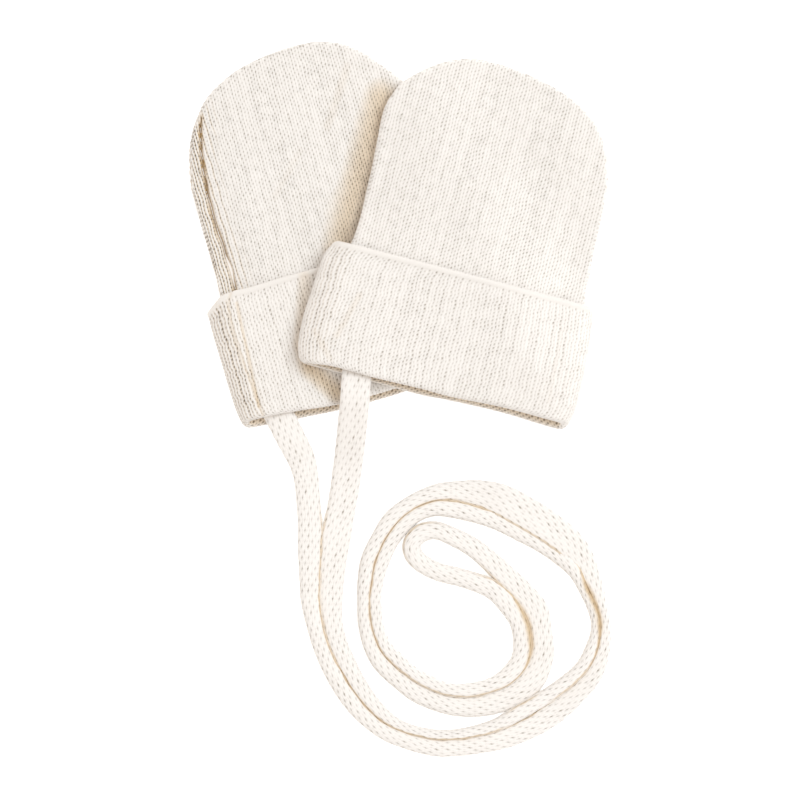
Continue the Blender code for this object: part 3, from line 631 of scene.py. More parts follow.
# %% Mitten sizes
WALL = 1.5 * MM  # thickness of the cloth
LAYER_GAP = 0.55 * MM  # between a hand and its cuff, and between the mittens
SIDE_RADIUS = 2.1 * MM  # of the hand's rounded sides
CUFF_RADIUS = SIDE_RADIUS + WALL + LAYER_GAP
HAND_LOFT = 2.0 * MM  # the top is higher by this in the middle
CUFF_LOFT = 2.4 * MM
LOFT_REACH_HAND = 18.0 * MM  # and rises over this distance from the side
LOFT_REACH_CUFF = 9.0 * MM
CUFF_HEIGHT = 40.0 * MM
INNER_LIMB = 8.0 * MM  # how far the cuff's cloth runs up inside
MOUTH_REACH = 20.0 * MM  # the mouth's own line fades out over this length
EDGE_START = 16.0 * MM  # the finished edge's own line fades in from here
LIFT_EASE = 14.0 * MM  # past its cuff the hand comes down to the table over this length
LIFT_SPARE = 0.1 * MM
DRAPE_REACH = 32.0 * MM  # the upper mitten comes down to the table over this distance
DRAPE_FULL = 3.0 * MM  # and is at full height from this far inside the lower one's outline
SOFT_JOIN = 8  # power that joins two heights: higher is sharper
SQUASH = 0.5  # share of its loft that the lower mitten keeps under the upper one
PRESS_START = -12.0 * MM  # distance across the lower mitten from which it is pressed
PRESS_WIDTH = 28.0 * MM
OUTLINE_STEPS = 4  # points from one of the hand's outline to the next
SIDE_STEPS = 6  # the same on the cuff's sides and on a seam
LINE_STEPS = 12  # the same on the lines of the mouth and of the finished edge

# Outlines. A row per section, in millimetres: distance from the mouth, left side, right side.
LEFT_HAND = [
    (8.6, -48.8, 43.8), (20, -48.6, 43.4), (31, -47.0, 42.0), (40, -45.4, 40.4),
    (44, -44.8, 40.0), (51, -44.4, 39.6), (61, -44.2, 39.4), (71, -44.1, 39.4), (80, -43.8, 39.4),
    (87, -42.5, 38.9), (93.5, -40.6, 37.2), (98, -38.6, 34.9), (102, -36.2, 32.0),
    (105.3, -33.6, 29.4), (108.2, -31.0, 26.9), (110.8, -27.5, 24.2), (113, -23.3, 21.4),
    (115, -18.6, 18.0), (116.5, -12.9, 13.8), (117.5, -6.0, 9.5), (117.9, 2.0, 2.0),
]
RIGHT_HAND = [
    (8.6, -50.4, 42.9), (20, -49.2, 42.2), (31, -46.2, 40.5), (40, -43.6, 39.0),
    (44, -43.0, 38.5), (50, -42.8, 38.2), (59, -43.0, 37.6), (68, -43.2, 37.5), (77, -43.8, 37.1),
    (84, -44.2, 35.9), (89, -44.0, 34.5), (93.5, -42.6, 32.6), (97.5, -40.8, 30.2),
    (100.8, -37.9, 27.6), (103.6, -35.0, 24.0), (106.2, -31.8, 19.8), (108.4, -28.6, 14.8),
    (110.2, -25.2, 8.8), (111.6, -21.8, 2.0), (112.5, -17.8, -5.0), (112.8, -12.0, -12.0),
]
LEFT_CUFF = [
    (0, -50.2, 45.4), (6, -51.0, 46.6), (14, -51.1, 46.8), (22, -51.0, 46.6),
    (30, -51.0, 46.0), (36, -50.8, 45.2), (40, -50.4, 44.4),
]
RIGHT_CUFF = [
    (0, -50.4, 43.4), (6, -52.4, 44.8), (14, -52.9, 44.8), (22, -52.3, 44.4),
    (30, -51.9, 43.6), (36, -50.9, 42.8), (40, -48.2, 41.2),
]
# Line of the fold at the mouth. A row per point, in millimetres: distance across, drop of the front
# layer, drop of the back layer.
LEFT_MOUTH = [
    (-50, 0.3, 2.6), (-41, 0.7, 3.4), (-30, 2.0, 4.6), (-18, 3.7, 5.7), (-6, 4.3, 6.3),
    (5, 4.2, 6.3), (25, 2.8, 5.2), (46, 1.0, 3.6),
]
RIGHT_MOUTH = [
    (-52, 2.4, 3.0), (-46, 2.5, 3.1), (-39, 1.6, 3.2), (-25, 1.8, 3.3), (-8, 1.5, 3.5),
    (2, 1.6, 2.9), (20, 0.6, 2.4), (36, 0.7, 3.0), (45, 0.8, 3.0),
]
# Line of the finished edge. A row per point, in millimetres: distance across, rise.
LEFT_EDGE = [
    (-51, -1.0), (-49, 0.2), (-45, 2.7), (-40, 3.5), (-34, 3.1), (-16, 3.0), (10, 2.0), (45, 1.0),
]
RIGHT_EDGE = [(-52, 0.0), (0, 0.0), (45, 0.0)]
# Side seam. A row per point, in millimetres: distance from the mouth, distance across.
LEFT_SEAM = [
    (0, -42.4), (13, -43.2), (26, -44.1), (36, -42.8), (41, -39.9), (46, -38.8), (54, -38.6),
    (61.5, -38.7), (69.5, -39.1), (80.5, -38.2), (90.7, -36.8), (99.3, -34.6), (103, -33.4),
]
RIGHT_SEAM = [(0, -44.0), (26, -45.0), (40, -39.0), (66, -38.6), (96, -36.0)]

# %% Soft folds
# A row per fold: face (1 is the top, -1 the underside), its line from (u, v) to (u, v), width and
# rise, in millimetres. A trough's rise is negative. On the underside they only go inwards. Deep
# troughs also carry painted shade. The widest trough of the left hand lies along the upper
# mitten's edge, and its painted shade stands for the shade that the upper mitten casts there.
LEFT_FOLDS = [
    (1, 19.5, 106.0, 7.0, 88.0, 4.0, -0.22), (1, -4.0, 83.0, -17.0, 70.0, 4.5, -0.22),
    (1, -17.0, 100.0, -26.0, 84.0, 3.5, -0.20), (1, -3.0, 66.0, -15.0, 50.0, 4.0, -0.12),
    (1, -27.0, 74.0, -30.0, 52.0, 3.0, 0.30), (1, 27.8, 92.0, -0.3, 48.0, 8.5, -0.42),
    (-1, -30.0, 60.0, -12.0, 84.0, 4.0, -0.40), (-1, 8.0, 52.0, 24.0, 74.0, 4.5, -0.50),
    (-1, 12.0, 90.0, 20.0, 104.0, 3.0, -0.30),
]
RIGHT_FOLDS = [
    (1, 7.0, 88.0, 14.0, 58.0, 5.0, -0.20), (1, -27.0, 45.0, -4.0, 46.5, 3.0, -0.20),
    (1, -28.5, 90.0, -27.5, 72.0, 4.5, -0.20), (1, 17.0, 90.0, 27.0, 66.0, 5.0, -0.20),
    (-1, -24.0, 52.0, -30.0, 88.0, 4.0, -0.40), (-1, 4.0, 60.0, 18.0, 80.0, 4.5, -0.50),
    (-1, -8.0, 92.0, 6.0, 102.0, 3.5, -0.30),
]
# The third and fourth troughs lie along the upper cuff's left end, and their painted shade stands for
# the shade that cuff casts there.
LEFT_CUFF_FOLDS = [
    (1, -46.6, 41.0, -47.6, 5.0, 1.1, -0.25), (1, -39.8, 36.0, -43.0, 4.0, 1.0, -0.35),
    (1, -15.0, 38.0, -23.0, 20.0, 4.5, -0.30), (1, -22.5, 12.0, -16.5, 4.0, 5.0, -0.43),
    (-1, -20.0, 8.0, -12.0, 32.0, 4.0, -0.45),
    (-1, 14.0, 6.0, 20.0, 30.0, 3.5, -0.40),
]
RIGHT_CUFF_FOLDS = [
    (1, -48.0, 10.0, -40.0, 2.0, 2.6, -0.24), (1, -27.5, 26.0, -29.5, 10.0, 3.5, 0.30),
    (1, -36.0, 24.0, -40.0, 10.0, 3.0, -0.25), (1, -13.0, 32.0, -9.0, 8.0, 4.0, -0.20),
    (1, 11.0, 33.0, 22.0, 10.0, 4.5, -0.20), (1, 33.0, 30.0, 35.0, 6.0, 3.0, -0.22),
    (-1, -6.0, 6.0, 2.0, 30.0, 4.0, -0.45), (-1, 24.0, 30.0, 30.0, 8.0, 3.5, -0.40),
]


def hand_path(rows):
    """The hand's outline as a smooth path from the mouth's left end over the top to its right end."""
    rows = table(rows)
    left, right = rows[:, [1, 0]], rows[:, [2, 0]]
    return smooth_line(np.concatenate([left, right[-2::-1]]), OUTLINE_STEPS)


def mitten(name, place, hand, cuff, mouth, edge, seam, lower, seam_on_top, bunch, folds):
    """All that one mitten is made from. bunch is how far the wales stand up near its left side."""
    return {
        "name": name, "place": place, "hand": hand_path(hand),
        "cuff": smooth_line(table(cuff), SIDE_STEPS), "seam": smooth_line(table(seam), SIDE_STEPS),
        "mouth": smooth_line(table(mouth), LINE_STEPS), "edge": smooth_line(table(edge), LINE_STEPS),
        "lower": lower, "seam_on_top": seam_on_top, "bunch": bunch,
        "hand_folds": folds[0], "cuff_folds": folds[1],
    }


# Place of the mouth's middle, x and y in millimetres, and turn in degrees to the left.
left_mitten = mitten(
    "left", (-5.4, -49.3, 17.0), LEFT_HAND, LEFT_CUFF, LEFT_MOUTH, LEFT_EDGE, LEFT_SEAM,
    lower=True, seam_on_top=True, bunch=1.0, folds=(LEFT_FOLDS, LEFT_CUFF_FOLDS),
)
right_mitten = mitten(
    "right", (15.8, -53.2, -14.5), RIGHT_HAND, RIGHT_CUFF, RIGHT_MOUTH, RIGHT_EDGE, RIGHT_SEAM,
    lower=False, seam_on_top=False, bunch=0.4, folds=(RIGHT_FOLDS, RIGHT_CUFF_FOLDS),
)
for shape in (left_mitten, right_mitten):
    print(shape["name"], "hand length, in mm:", round(shape["hand"][:, 1].max() / MM, 1))


# %% Sections across a mitten
def sides_at(path, v):
    """Where the hand's outline meets the line at distance v from the mouth, left and right."""
    tip = int(np.argmax(path[:, 1]))
    left = np.interp(v, path[: tip + 1, 1], path[: tip + 1, 0])
    right = np.interp(v, path[tip:, 1][::-1], path[tip:, 0][::-1])
    return left, right


def side_steps(distance, width, radius):
    """How far in from a side a point is, at a distance along the cloth from the side's edge.

    The side is a quarter of an ellipse, width by radius, and its arc is close to half pi times
    the root of the mean square of the two. Past the arc the cloth is flat.
    """
    quarter = 0.5 * np.pi * np.sqrt(0.5 * (width**2 + radius**2))
    angle = 0.5 * np.pi * np.clip(distance / quarter, 0.0, 1.0)
    return width * (1.0 - np.cos(angle)) + np.maximum(distance - quarter, 0.0), quarter


def across(left, right, wide_left, wide_right, radius, share):
    """Positions u across a section at even steps along the cloth, for shares from 0 to 1."""
    spare = 0.5 * (right - left)
    wide_left, wide_right = np.minimum(wide_left, spare), np.minimum(wide_right, spare)
    _, quarter_left = side_steps(0.0, wide_left, radius)
    _, quarter_right = side_steps(0.0, wide_right, radius)
    total = quarter_left + quarter_right + (right - left) - wide_left - wide_right
    from_left, _ = side_steps(share * total, wide_left, radius)
    from_right, _ = side_steps((1.0 - share) * total, wide_right, radius)
    return np.where(share < 0.5, left + from_left, right - from_right)


def side_rise(distance, radius, width):
    """Half thickness near a rounded side: a quarter of an ellipse, then flat."""
    share = np.clip(distance / width, 0.0, 1.0)
    return radius * np.sqrt(np.clip(1.0 - (1.0 - share) ** 2, 0.0, 1.0))


def squash(shape, u):
    """Share of the loft that is left: the upper mitten presses the lower one on its right."""
    if shape["lower"]:
        return 1.0 - (1.0 - SQUASH) * smooth((u - PRESS_START) / PRESS_WIDTH)
    return np.ones_like(u)


# %% Lines of the mouth and the finished edge
def mouth_drop(shape, u, v, front):
    """How far the cloth is slid towards the mouth's line. front is 1 on the front layer and 0 on
    the back layer."""
    place_across, front_drop, back_drop = shape["mouth"].T
    high = np.interp(u, place_across, front_drop)
    low = np.interp(u, place_across, back_drop)
    return (low + front * (high - low)) * (1.0 - smooth(v / MOUTH_REACH))


def edge_rise(shape, u, v):
    """How far the cuff's cloth is slid towards the finished edge's line."""
    place_across, rise = shape["edge"].T
    share = smooth((v - EDGE_START) / (CUFF_HEIGHT - EDGE_START))
    return np.interp(u, place_across, rise) * share


def shaped_ends(shape, points, cuff):
    """Points of the hand or the cuff, slid along v to the mouth's and the edge's lines."""
    u, v, z = points[..., 0], points[..., 1], points[..., 2]
    front = smooth((z - WALL) / (2 * CUFF_RADIUS - 2 * WALL))
    slide = -mouth_drop(shape, u, v, front)
    if cuff:
        slide = slide + edge_rise(shape, u, v)
    return points + slide[..., None] * np.array([0.0, 1.0, 0.0])


# %% [markdown]
# ## Lying on each other
#
# Cloth laid over an edge comes down in a soft slope. The base height of the upper mitten is the
# lower one's thickness inside its outline, and falls smoothly to the table over 32 mm beside it.

# %% Placing and draping
def to_world(shape, points):
    """Points from a mitten's own frame to the common frame: a turn and a shift on the table."""
    x, y, turn = shape["place"]
    a = math.radians(turn)
    right, up = np.array([math.cos(a), math.sin(a)]), np.array([-math.sin(a), math.cos(a)])
    spot = points[..., :1] * right + points[..., 1:2] * up + np.array([x, y]) * MM
    return np.concatenate([spot, points[..., 2:]], axis=-1)


def to_own(shape, x, y):
    """Positions x, y on the table in a mitten's own u and v."""
    x0, y0, turn = shape["place"]
    a = math.radians(turn)
    dx, dy = x - x0 * MM, y - y0 * MM
    return dx * math.cos(a) + dy * math.sin(a), dy * math.cos(a) - dx * math.sin(a)


def drape_height(lower, x, y):
    """Base height over the lower mitten: the larger of its hand's and its cuff's, softly joined."""
    u, v = to_own(lower, x, y)
    straight = v + mouth_drop(lower, u, v, 0.0) - edge_rise(lower, u, v)
    rows = lower["cuff"]
    cuff_path = np.concatenate([rows[:, [1, 0]], rows[::-1][:, [2, 0]]])
    over = DRAPE_REACH + DRAPE_FULL
    hand = smooth((depth_inside(lower["hand"], u, v) + DRAPE_REACH) / over)
    cuff = smooth((depth_inside(cuff_path, u, straight) + DRAPE_REACH) / over)
    loft = LAYER_GAP + CUFF_LOFT * squash(lower, u)
    over_hand = (2 * SIDE_RADIUS + loft) * hand
    over_cuff = (2 * CUFF_RADIUS + loft) * cuff
    return (over_hand**SOFT_JOIN + over_cuff**SOFT_JOIN) ** (1 / SOFT_JOIN)


def place(shape, points):
    """Points of a mitten in the common frame, lifted if it is the upper one."""
    placed = to_world(shape, points)
    if not shape["lower"]:
        lift = drape_height(left_mitten, placed[..., 0], placed[..., 1])
        placed = placed + lift[..., None] * np.array([0.0, 0.0, 1.0])
    return placed


# %% [markdown]
# ## The hands
#
# A hand is two flat panels of stocking stitch, sewn round the side and the top into a bag, so its
# wales run straight up and are cut off by the round top. On the left mitten the side seam has
# rolled on to the upper face, where it draws a narrow groove, and a few wales of the back show
# beside it. The outer points carry the loops. The wall's inside is plain, because it never shows.
# Each point also keeps two marks of painted shade: how dark it is, as in a pinhole, and how
# much it lies in a groove.

# %% Hand sizes
HAND_WALES = 80  # all round
HAND_WALE = 2.15 * MM
HAND_COURSE = 1.43 * MM
LEG_HEIGHT = 0.14 * MM
HOLE_DEPTH = 0.42 * MM  # depth of a full pinhole
TOP_STEPS = 6  # columns of points to a wale on top
UNDER_STEPS = 4  # and underneath
ROW_STEPS = 4  # rows of points to a course
HIDDEN_ROWS = np.array([8.6, 12, 17, 22, 27, 32, 36]) * MM
KNIT_FROM = 37.5 * MM  # the hand is plain inside the cuff, up to here
KNIT_EASE = 1.0 * MM  # and the loops rise over this much
STRAIGHT_PLACE = 60 * MM  # the hand's sides are straight at this distance from the mouth
PANEL_MIDDLE = 40 * MM  # half a panel's width
SIDE_ANGLES = np.radians([0.0, 18.0, 36.0, 54.0])  # places of the columns that round a side
INNER_ROWS = 10
SEAM_DEPTH = 1.3 * MM
SEAM_WIDTH = 0.65 * MM
SEAM_FADE = 10.0 * MM  # the seam runs out over this much, beyond its last point
SEAM_SHADE = 0.9  # painted shade: how far the seam's groove takes on the colour of deep cloth
SEAM_CORE_SHADE = 0.8  # painted shade: how dark its deepest line is, as pinholes go
GROOVE_HOLE_SHADE = 1.0  # the pinholes' painted shade is darker in a groove by this share
BUNCH_DEPTH = 0.28 * MM  # depth of the lines between columns of legs, where the wales stand up
LINE_POWER = 4  # higher powers make these lines narrower
VALLEY_POWER = 6  # and these the valleys between wales
BUNCH_SHADE = 0.6  # painted shade: how far they take on the colour of deep cloth
BUNCH_HOLES = 0.35  # the pinholes are deeper there by this share
FOLD_SHADE_FROM = 0.2 * MM  # painted shade: a trough deeper than this takes on the colour of deep cloth
FOLD_SHADE = 2.4 / MM  # so far, for the depth beyond that
PLEAT_REACH = 8 * MM  # the wales right of the seam stand up over this width
PLEAT_DEPTH = 0.30 * MM
HAND_WAVER = 0.18 * MM  # how far the wales and courses stray from straight
WAVER_EDGE = 4.0 * MM  # and how far in from the sides they do so in full
UNEVEN_SHARE = 0.22  # how much the pinholes differ from place to place


def hand_rows(tip):
    """Distances from the mouth of the outer rows: coarse in the cuff, in step with the courses
    above it, and close together where the cloth rounds over the tip."""
    row = HAND_COURSE / ROW_STEPS
    last = tip - SIDE_RADIUS * (1.0 - np.cos(SIDE_ANGLES[::-1]))
    steps = np.arange(math.ceil(KNIT_FROM / row), int(last[0] / row))
    return np.concatenate([HIDDEN_ROWS, steps * row, last])


def side_start(shape):
    """Where the hand's left side is on its straight stretch."""
    return float(sides_at(shape["hand"], STRAIGHT_PLACE)[0])


def hand_columns(left, right, shape, steps):
    """Positions u across each row: a few that round each side, and between them even ones in step
    with the wales. Where the hand is narrow the even ones fall together at the side and merge."""
    edge = SIDE_RADIUS * (1.0 - np.cos(SIDE_ANGLES))
    spare = 0.5 * (right - left)[:, None]
    near = left[:, None] + np.minimum(edge[None, :], spare)
    far = right[:, None] - np.minimum(edge[None, ::-1], spare)
    pitch, start = HAND_WALE / steps, side_start(shape)
    widest = shape["hand"][:, 0]
    first = math.ceil((widest.min() - start) / pitch)
    even = start + np.arange(first, (widest.max() - start) / pitch) * pitch
    inside = np.minimum(np.maximum(even[None, :], near[:, -1:]), far[:, :1])
    return np.concatenate([near, inside, far], axis=1)


def hand_grid(shape, v, inset):
    """Columns over the top and back underneath for rows at v, and which of them are on top."""
    path = shape["hand"]
    moved = path + inset * unit(np.stack([np.gradient(path[:, 1]), -np.gradient(path[:, 0])], axis=1))
    left, right = sides_at(moved, v)
    top = hand_columns(left, right, shape, TOP_STEPS)
    under = hand_columns(left, right, shape, UNDER_STEPS)[:, -2:0:-1]
    return np.concatenate([top, under], axis=1), np.repeat([1.0, -1.0], [top.shape[1], under.shape[1]])


# %% Hand surface
def seam_distance(shape, u, v):
    """Distance to the side seam, negative on its left."""
    return u - np.interp(v, shape["seam"][:, 0], shape["seam"][:, 1])


def beside_seam(shape, u, v, upper):
    """The strip of back wales on the seam's left, where the seam is on top."""
    return (seam_distance(shape, u, v) < 0.0) & (upper > 0) & shape["seam_on_top"]


def hand_stitches(shape, u, v, depth, upper):
    """Wales and courses at each point of the hand.

    Across the flat the wales follow u. Round a side of radius r, where the surface has turned by an
    angle, the cloth is longer than the ground it covers by r times the angle less its sine. The
    underside counts on from the sides.
    """
    turned = np.arcsin(np.clip(1.0 - depth / SIDE_RADIUS, 0.0, 1.0))
    extra = SIDE_RADIUS * (turned - np.sin(turned))
    from_side = u - side_start(shape)
    wales = (from_side + np.sign(from_side - PANEL_MIDDLE) * extra) / HAND_WALE
    return np.where(upper > 0, wales, HAND_WALES - wales), v / HAND_COURSE


def hand_layer(shape, u, v, upper, inset):
    """One layer of the hand, moved in by the inset: its points, directions outwards and depth.

    The height is half the thickness above or below the middle: a quarter circle of the distance to
    the outline near the sides, then flat, with some loft towards the middle on top.
    """
    depth, way_u, way_v = nearest(shape["hand"], u, v)
    radius = SIDE_RADIUS - inset
    level = np.clip(1.0 - (depth - inset) / radius, 0.0, 1.0)
    rise = radius * np.sqrt(1.0 - level**2)
    lift = (WALL + LAYER_GAP + LIFT_SPARE) * (1.0 - smooth((v - CUFF_HEIGHT) / LIFT_EASE))
    loft = HAND_LOFT * squash(shape, u) * smooth(depth / LOFT_REACH_HAND)
    z = lift + SIDE_RADIUS + np.where(upper > 0, rise + loft, -rise)
    ways = np.stack([level * way_u, level * way_v, upper * np.sqrt(1.0 - level**2)], axis=-1)
    return np.stack([u, v, z], axis=-1), ways, depth


def loops(wales, courses, middle_holes, bunch, uneven):
    """Height of the loops, depth of the pinholes, lines between the legs, side and painted shade.

    bunch is how far the wales stand up, and uneven how the pinholes differ from place to place.
    """
    legs, hole, side, low = stitches_at(wales, courses, middle_holes)
    line = bunch * (2.0 * side - 1.0) ** LINE_POWER
    hole = hole * (1.0 + BUNCH_HOLES * bunch) * (1.0 + UNEVEN_SHARE * uneven)
    return LEG_HEIGHT * (1.0 + bunch) * (legs - 1.0) - BUNCH_DEPTH * line, hole, line, side, low


def trough_shade(fold):
    """Painted shade: how far a deep trough takes on the colour of deep cloth."""
    return FOLD_SHADE * np.maximum(-fold - FOLD_SHADE_FROM, 0.0)


def hand_seam(shape, u, v, depth, upper):
    """Strength of the side seam's groove, of its deepest line, and of the pleats on its right."""
    away = seam_distance(shape, u, v)
    fade = 1.0 - smooth((v - shape["seam"][-1, 0]) / SEAM_FADE)
    on_seam = (upper > 0) == shape["seam_on_top"]
    held = np.where(on_seam, fade * smooth(depth / SIDE_RADIUS), 0.0)
    pleat = np.where(away > 0.0, held * (1.0 - smooth(away / PLEAT_REACH)), 0.0)
    return held * bell(away, SEAM_WIDTH), held * bell(away, 0.5 * SEAM_WIDTH), pleat


def hand_relief(shape, u, v, depth, upper, wales, courses):
    """Height of loops, folds and seam above the smooth form, and painted shade of pinholes and grooves.
    """
    bunch = np.where(beside_seam(shape, u, v, upper), shape["bunch"], 0.0)
    relief, hole, line, side, low = loops(wales, courses, 1.0, bunch, waver(u, v, 1))
    seam, core, pleat = hand_seam(shape, u, v, depth, upper)
    pleat = pleat * side**VALLEY_POWER
    relief = relief - HOLE_DEPTH * hole - SEAM_DEPTH * seam - PLEAT_DEPTH * pleat
    fold = fold_height(shape["hand_folds"], u, v, upper) * smooth(depth / SIDE_RADIUS)
    relief = relief * smooth((v - KNIT_FROM) / KNIT_EASE) + fold
    # Painted shade: bunched lines, pleats, the seam and deep troughs take on the deep colour, and
    # pinholes, low places and the seam's core turn darker.
    groove = BUNCH_SHADE * (line + pleat) + SEAM_SHADE * seam + trough_shade(fold)
    dark = hole * (1.0 + GROOVE_HOLE_SHADE * groove) + low + SEAM_CORE_SHADE * core
    return np.where(upper > 0, relief, np.minimum(relief, 0.0)), dark, groove


def outer_hand(shape, rows):
    """The outer layer with its loops, the pattern's place at each point, and the painted shade marks."""
    u, upper = hand_grid(shape, rows, 0.0)
    v = np.broadcast_to(rows[:, None], u.shape)
    points, ways, depth = hand_layer(shape, u, v, upper, 0.0)
    wales, courses = hand_stitches(shape, u, v, depth, upper)
    relief, dark, groove = hand_relief(shape, u, v, depth, upper, wales, courses)
    points = points + relief[..., None] * ways
    held = smooth(depth / WAVER_EDGE)
    points[..., 0] += HAND_WAVER * waver(u, v, 2) * held
    points[..., 1] += HAND_WAVER * waver(u, v, 3) * held
    return points, np.stack([wales, courses], axis=-1), (dark, groove)


def inner_hand(shape, tip):
    """The inner layer, plain, in a few rows from the tip back to the mouth."""
    rows = np.linspace(tip - WALL, HIDDEN_ROWS[0], INNER_ROWS)
    u, upper = hand_grid(shape, rows, WALL)
    points, _, _ = hand_layer(shape, u, np.broadcast_to(rows[:, None], u.shape), upper, WALL)
    return points


def hand_surface(shape):
    """The whole hand: the outer layer from the mouth to the tip, and the inner one back again."""
    tip = shape["hand"][:, 1].max()
    rows = hand_rows(tip)
    outer, stitches, marks = outer_hand(shape, rows)
    inner = inner_hand(shape, tip)
    points = shaped_ends(shape, np.concatenate([outer, inner]), False)
    plain = np.zeros(inner.shape[:2])
    stitches = np.concatenate([stitches, np.stack([plain, plain], axis=-1)])
    stitches = np.concatenate([stitches, stitches[:, :1] + np.array([HAND_WALES, 0.0])], axis=1)
    stitches = np.concatenate([stitches, stitches[:1]])
    marks = [np.concatenate([mark, plain]) for mark in marks]
    return place(shape, points), stitches, marks, len(rows) - 1


def add_hand(shape):
    """Makes a mitten's hand."""
    points, stitches, marks, tip_row = hand_surface(shape)
    name = shape["name"] + "_hand"
    piece = knit_mesh(name + "_knit", points, stitches, marks, True, tip_row)
    return hand_over(piece, name)


left_hand = add_hand(left_mitten)
right_hand = add_hand(right_mitten)

# %% [markdown]
# ## The cuffs
#
# A cuff is a knitted band, turned up once. Its cloth starts at the finished edge on the outside,
# comes down to the mouth, folds there round the layer below and runs up inside to where it is sewn
# to the hand. The finished edge is a smooth bead, because the last course is bound off. The knit is
# tighter along than across, so it shows as fine ribs with a strong row of pinholes between them.

# %% Cuff profile
CUFF_WALES = (41, 41)  # on top, underneath
CUFF_WALE = 2.45 * MM
CUFF_COURSE = 1.28 * MM
CUFF_ROW = CUFF_COURSE / ROW_STEPS
EDGE_POINTS = 5  # rows on each rounded end of the cloth
FOLD_POINTS = 20  # rows round the fold at the mouth
LINER_ROWS = 10  # rows of the side that faces the hand
CUFF_VALLEY = 0.10 * MM  # depth of the valleys between the wales
MIDDLE_HOLES = 0.75  # the pinholes in the middle of a wale are weaker here
FOLD = WALL + LAYER_GAP / 2  # radius of the fold at the mouth
EDGE = 0.5 * WALL  # radius of the finished edge
LINER_START = FOLD + 0.6 * MM  # where the cloth's two layers part behind the fold
BEAD_PLACE = CUFF_HEIGHT - 1.0 * MM  # of the smooth bead at the finished edge
BEAD_HEIGHT = 0.32 * MM
BEAD_WIDTH = 0.95 * MM
EDGE_MARK = 0.2  # how dark the plain finished edge is, as pinholes go
KNIT_TO = CUFF_HEIGHT - 1.6 * MM  # the loops end here, below the bead
KNIT_FADE = 0.5 * MM
CUFF_SEAM_SHARE = 0.25  # the seam is shallower on the cuff
CUFF_BUNCH_SHARE = 0.5  # the wales stand up less than on the hand
BUNCH_FROM = -38 * MM  # and from here to the left side
BUNCH_REACH = 9 * MM
INSIDE_HOLES = 0.4  # the pinholes are deeper inside by this share
INSIDE_SHADE = 0.5  # painted shade: how far the inside takes on the colour of deep cloth
CUFF_WAVER = 0.3 * MM  # how far the cuff's wales stray from straight


def cuff_profile():
    """The cloth cut lengthwise: distance from the mouth, depth from outside, and knit strength.

    It starts at the top of the finished edge, comes down outside, folds at the mouth in a half
    circle, goes up inside, and comes back between the layers in a few rows.
    """
    edge = np.linspace(0.5 * np.pi, 0.0, EDGE_POINTS, endpoint=False)
    down = np.arange(CUFF_HEIGHT - EDGE, FOLD, -CUFF_ROW)
    fold = np.linspace(0.0, np.pi, FOLD_POINTS, endpoint=False)
    up = np.arange(FOLD, INNER_LIMB, CUFF_ROW)
    back = np.linspace(0.0, np.pi, EDGE_POINTS)
    hidden = np.linspace(LINER_START, CUFF_HEIGHT - EDGE, LINER_ROWS)
    behind = np.linspace(np.pi, 0.5 * np.pi, EDGE_POINTS - 1, endpoint=False)
    top, deep = CUFF_HEIGHT - EDGE, 2 * WALL + LAYER_GAP
    stretches = (
        (top + EDGE * np.sin(edge), EDGE * (1 - np.cos(edge)), 0 * edge),
        (down, 0 * down, smooth((KNIT_TO - down) / KNIT_FADE)),
        (FOLD * (1 - np.sin(fold)), FOLD * (1 - np.cos(fold)), 0 * fold + 1),
        (up, 0 * up + deep, 0 * up + 1),
        (INNER_LIMB + EDGE * np.sin(back), deep - EDGE * (1 - np.cos(back)), 0 * back),
        (np.array([LINER_START, FOLD]), np.array([WALL + LAYER_GAP, FOLD]), np.zeros(2)),
        (hidden, 0 * hidden + WALL, 0 * hidden),
        (top + EDGE * np.sin(behind), EDGE * (1 - np.cos(behind)), 0 * behind),
    )
    return tuple(np.concatenate(parts) for parts in zip(*stretches))


def ring_shares(top_steps, under_steps):
    """Shares from 0 to 1 over the top, back along the underside, and which of them are on top."""
    top = np.linspace(0.0, 1.0, top_steps + 1)
    under = np.linspace(1.0, 0.0, under_steps + 1)[1:-1]
    return np.concatenate([top, under]), np.concatenate([np.ones(len(top)), -np.ones(len(under))])


# %% Cuff surface
def cuff_layer(shape, v, inset, share, upper):
    """Points of the cuff for rows at distance v from the mouth and depth inset from outside.

    The side is a quarter of an ellipse as wide as the room between the cuff's and the hand's sides.
    """
    rows = shape["cuff"]
    left, right = (np.interp(v, rows[:, 0], rows[:, k])[:, None] for k in (1, 2))
    hand_left, hand_right = (side[:, None] for side in sides_at(shape["hand"], v))
    inset, v = inset[:, None], v[:, None]
    wide_left = CUFF_RADIUS + np.maximum(0.0, hand_left - left - WALL - LAYER_GAP) - inset
    wide_right = CUFF_RADIUS + np.maximum(0.0, right - hand_right - WALL - LAYER_GAP) - inset
    radius = CUFF_RADIUS - inset
    u = across(left + inset, right - inset, wide_left, wide_right, radius, share[None, :])
    from_left, from_right = u - left - inset, right - inset - u
    rise_left = side_rise(from_left, radius, wide_left)
    rise_right = side_rise(from_right, radius, wide_right)
    rise = np.where(from_left < from_right, rise_left, rise_right)
    from_side = np.minimum(from_left, from_right)
    loft = CUFF_LOFT * squash(shape, u) * smooth((from_side + inset) / LOFT_REACH_CUFF)
    z = CUFF_RADIUS + np.where(upper > 0, rise + loft, -rise)
    return np.stack([u, np.broadcast_to(v, u.shape), z], axis=-1)


def cuff_stitches(v, inset, share, upper):
    """Wales round the ring and courses along the cloth, at each corner of the grid."""
    wales = np.where(upper > 0, share * CUFF_WALES[0], CUFF_WALES[0] + (1 - share) * CUFF_WALES[1])
    wales = np.append(wales, sum(CUFF_WALES))
    measure = running(np.stack([v, inset], axis=1))
    courses = -np.append(measure, measure[-1] + EDGE) / CUFF_COURSE
    return np.stack(np.broadcast_arrays(wales[None, :], courses[:, None]), axis=-1)


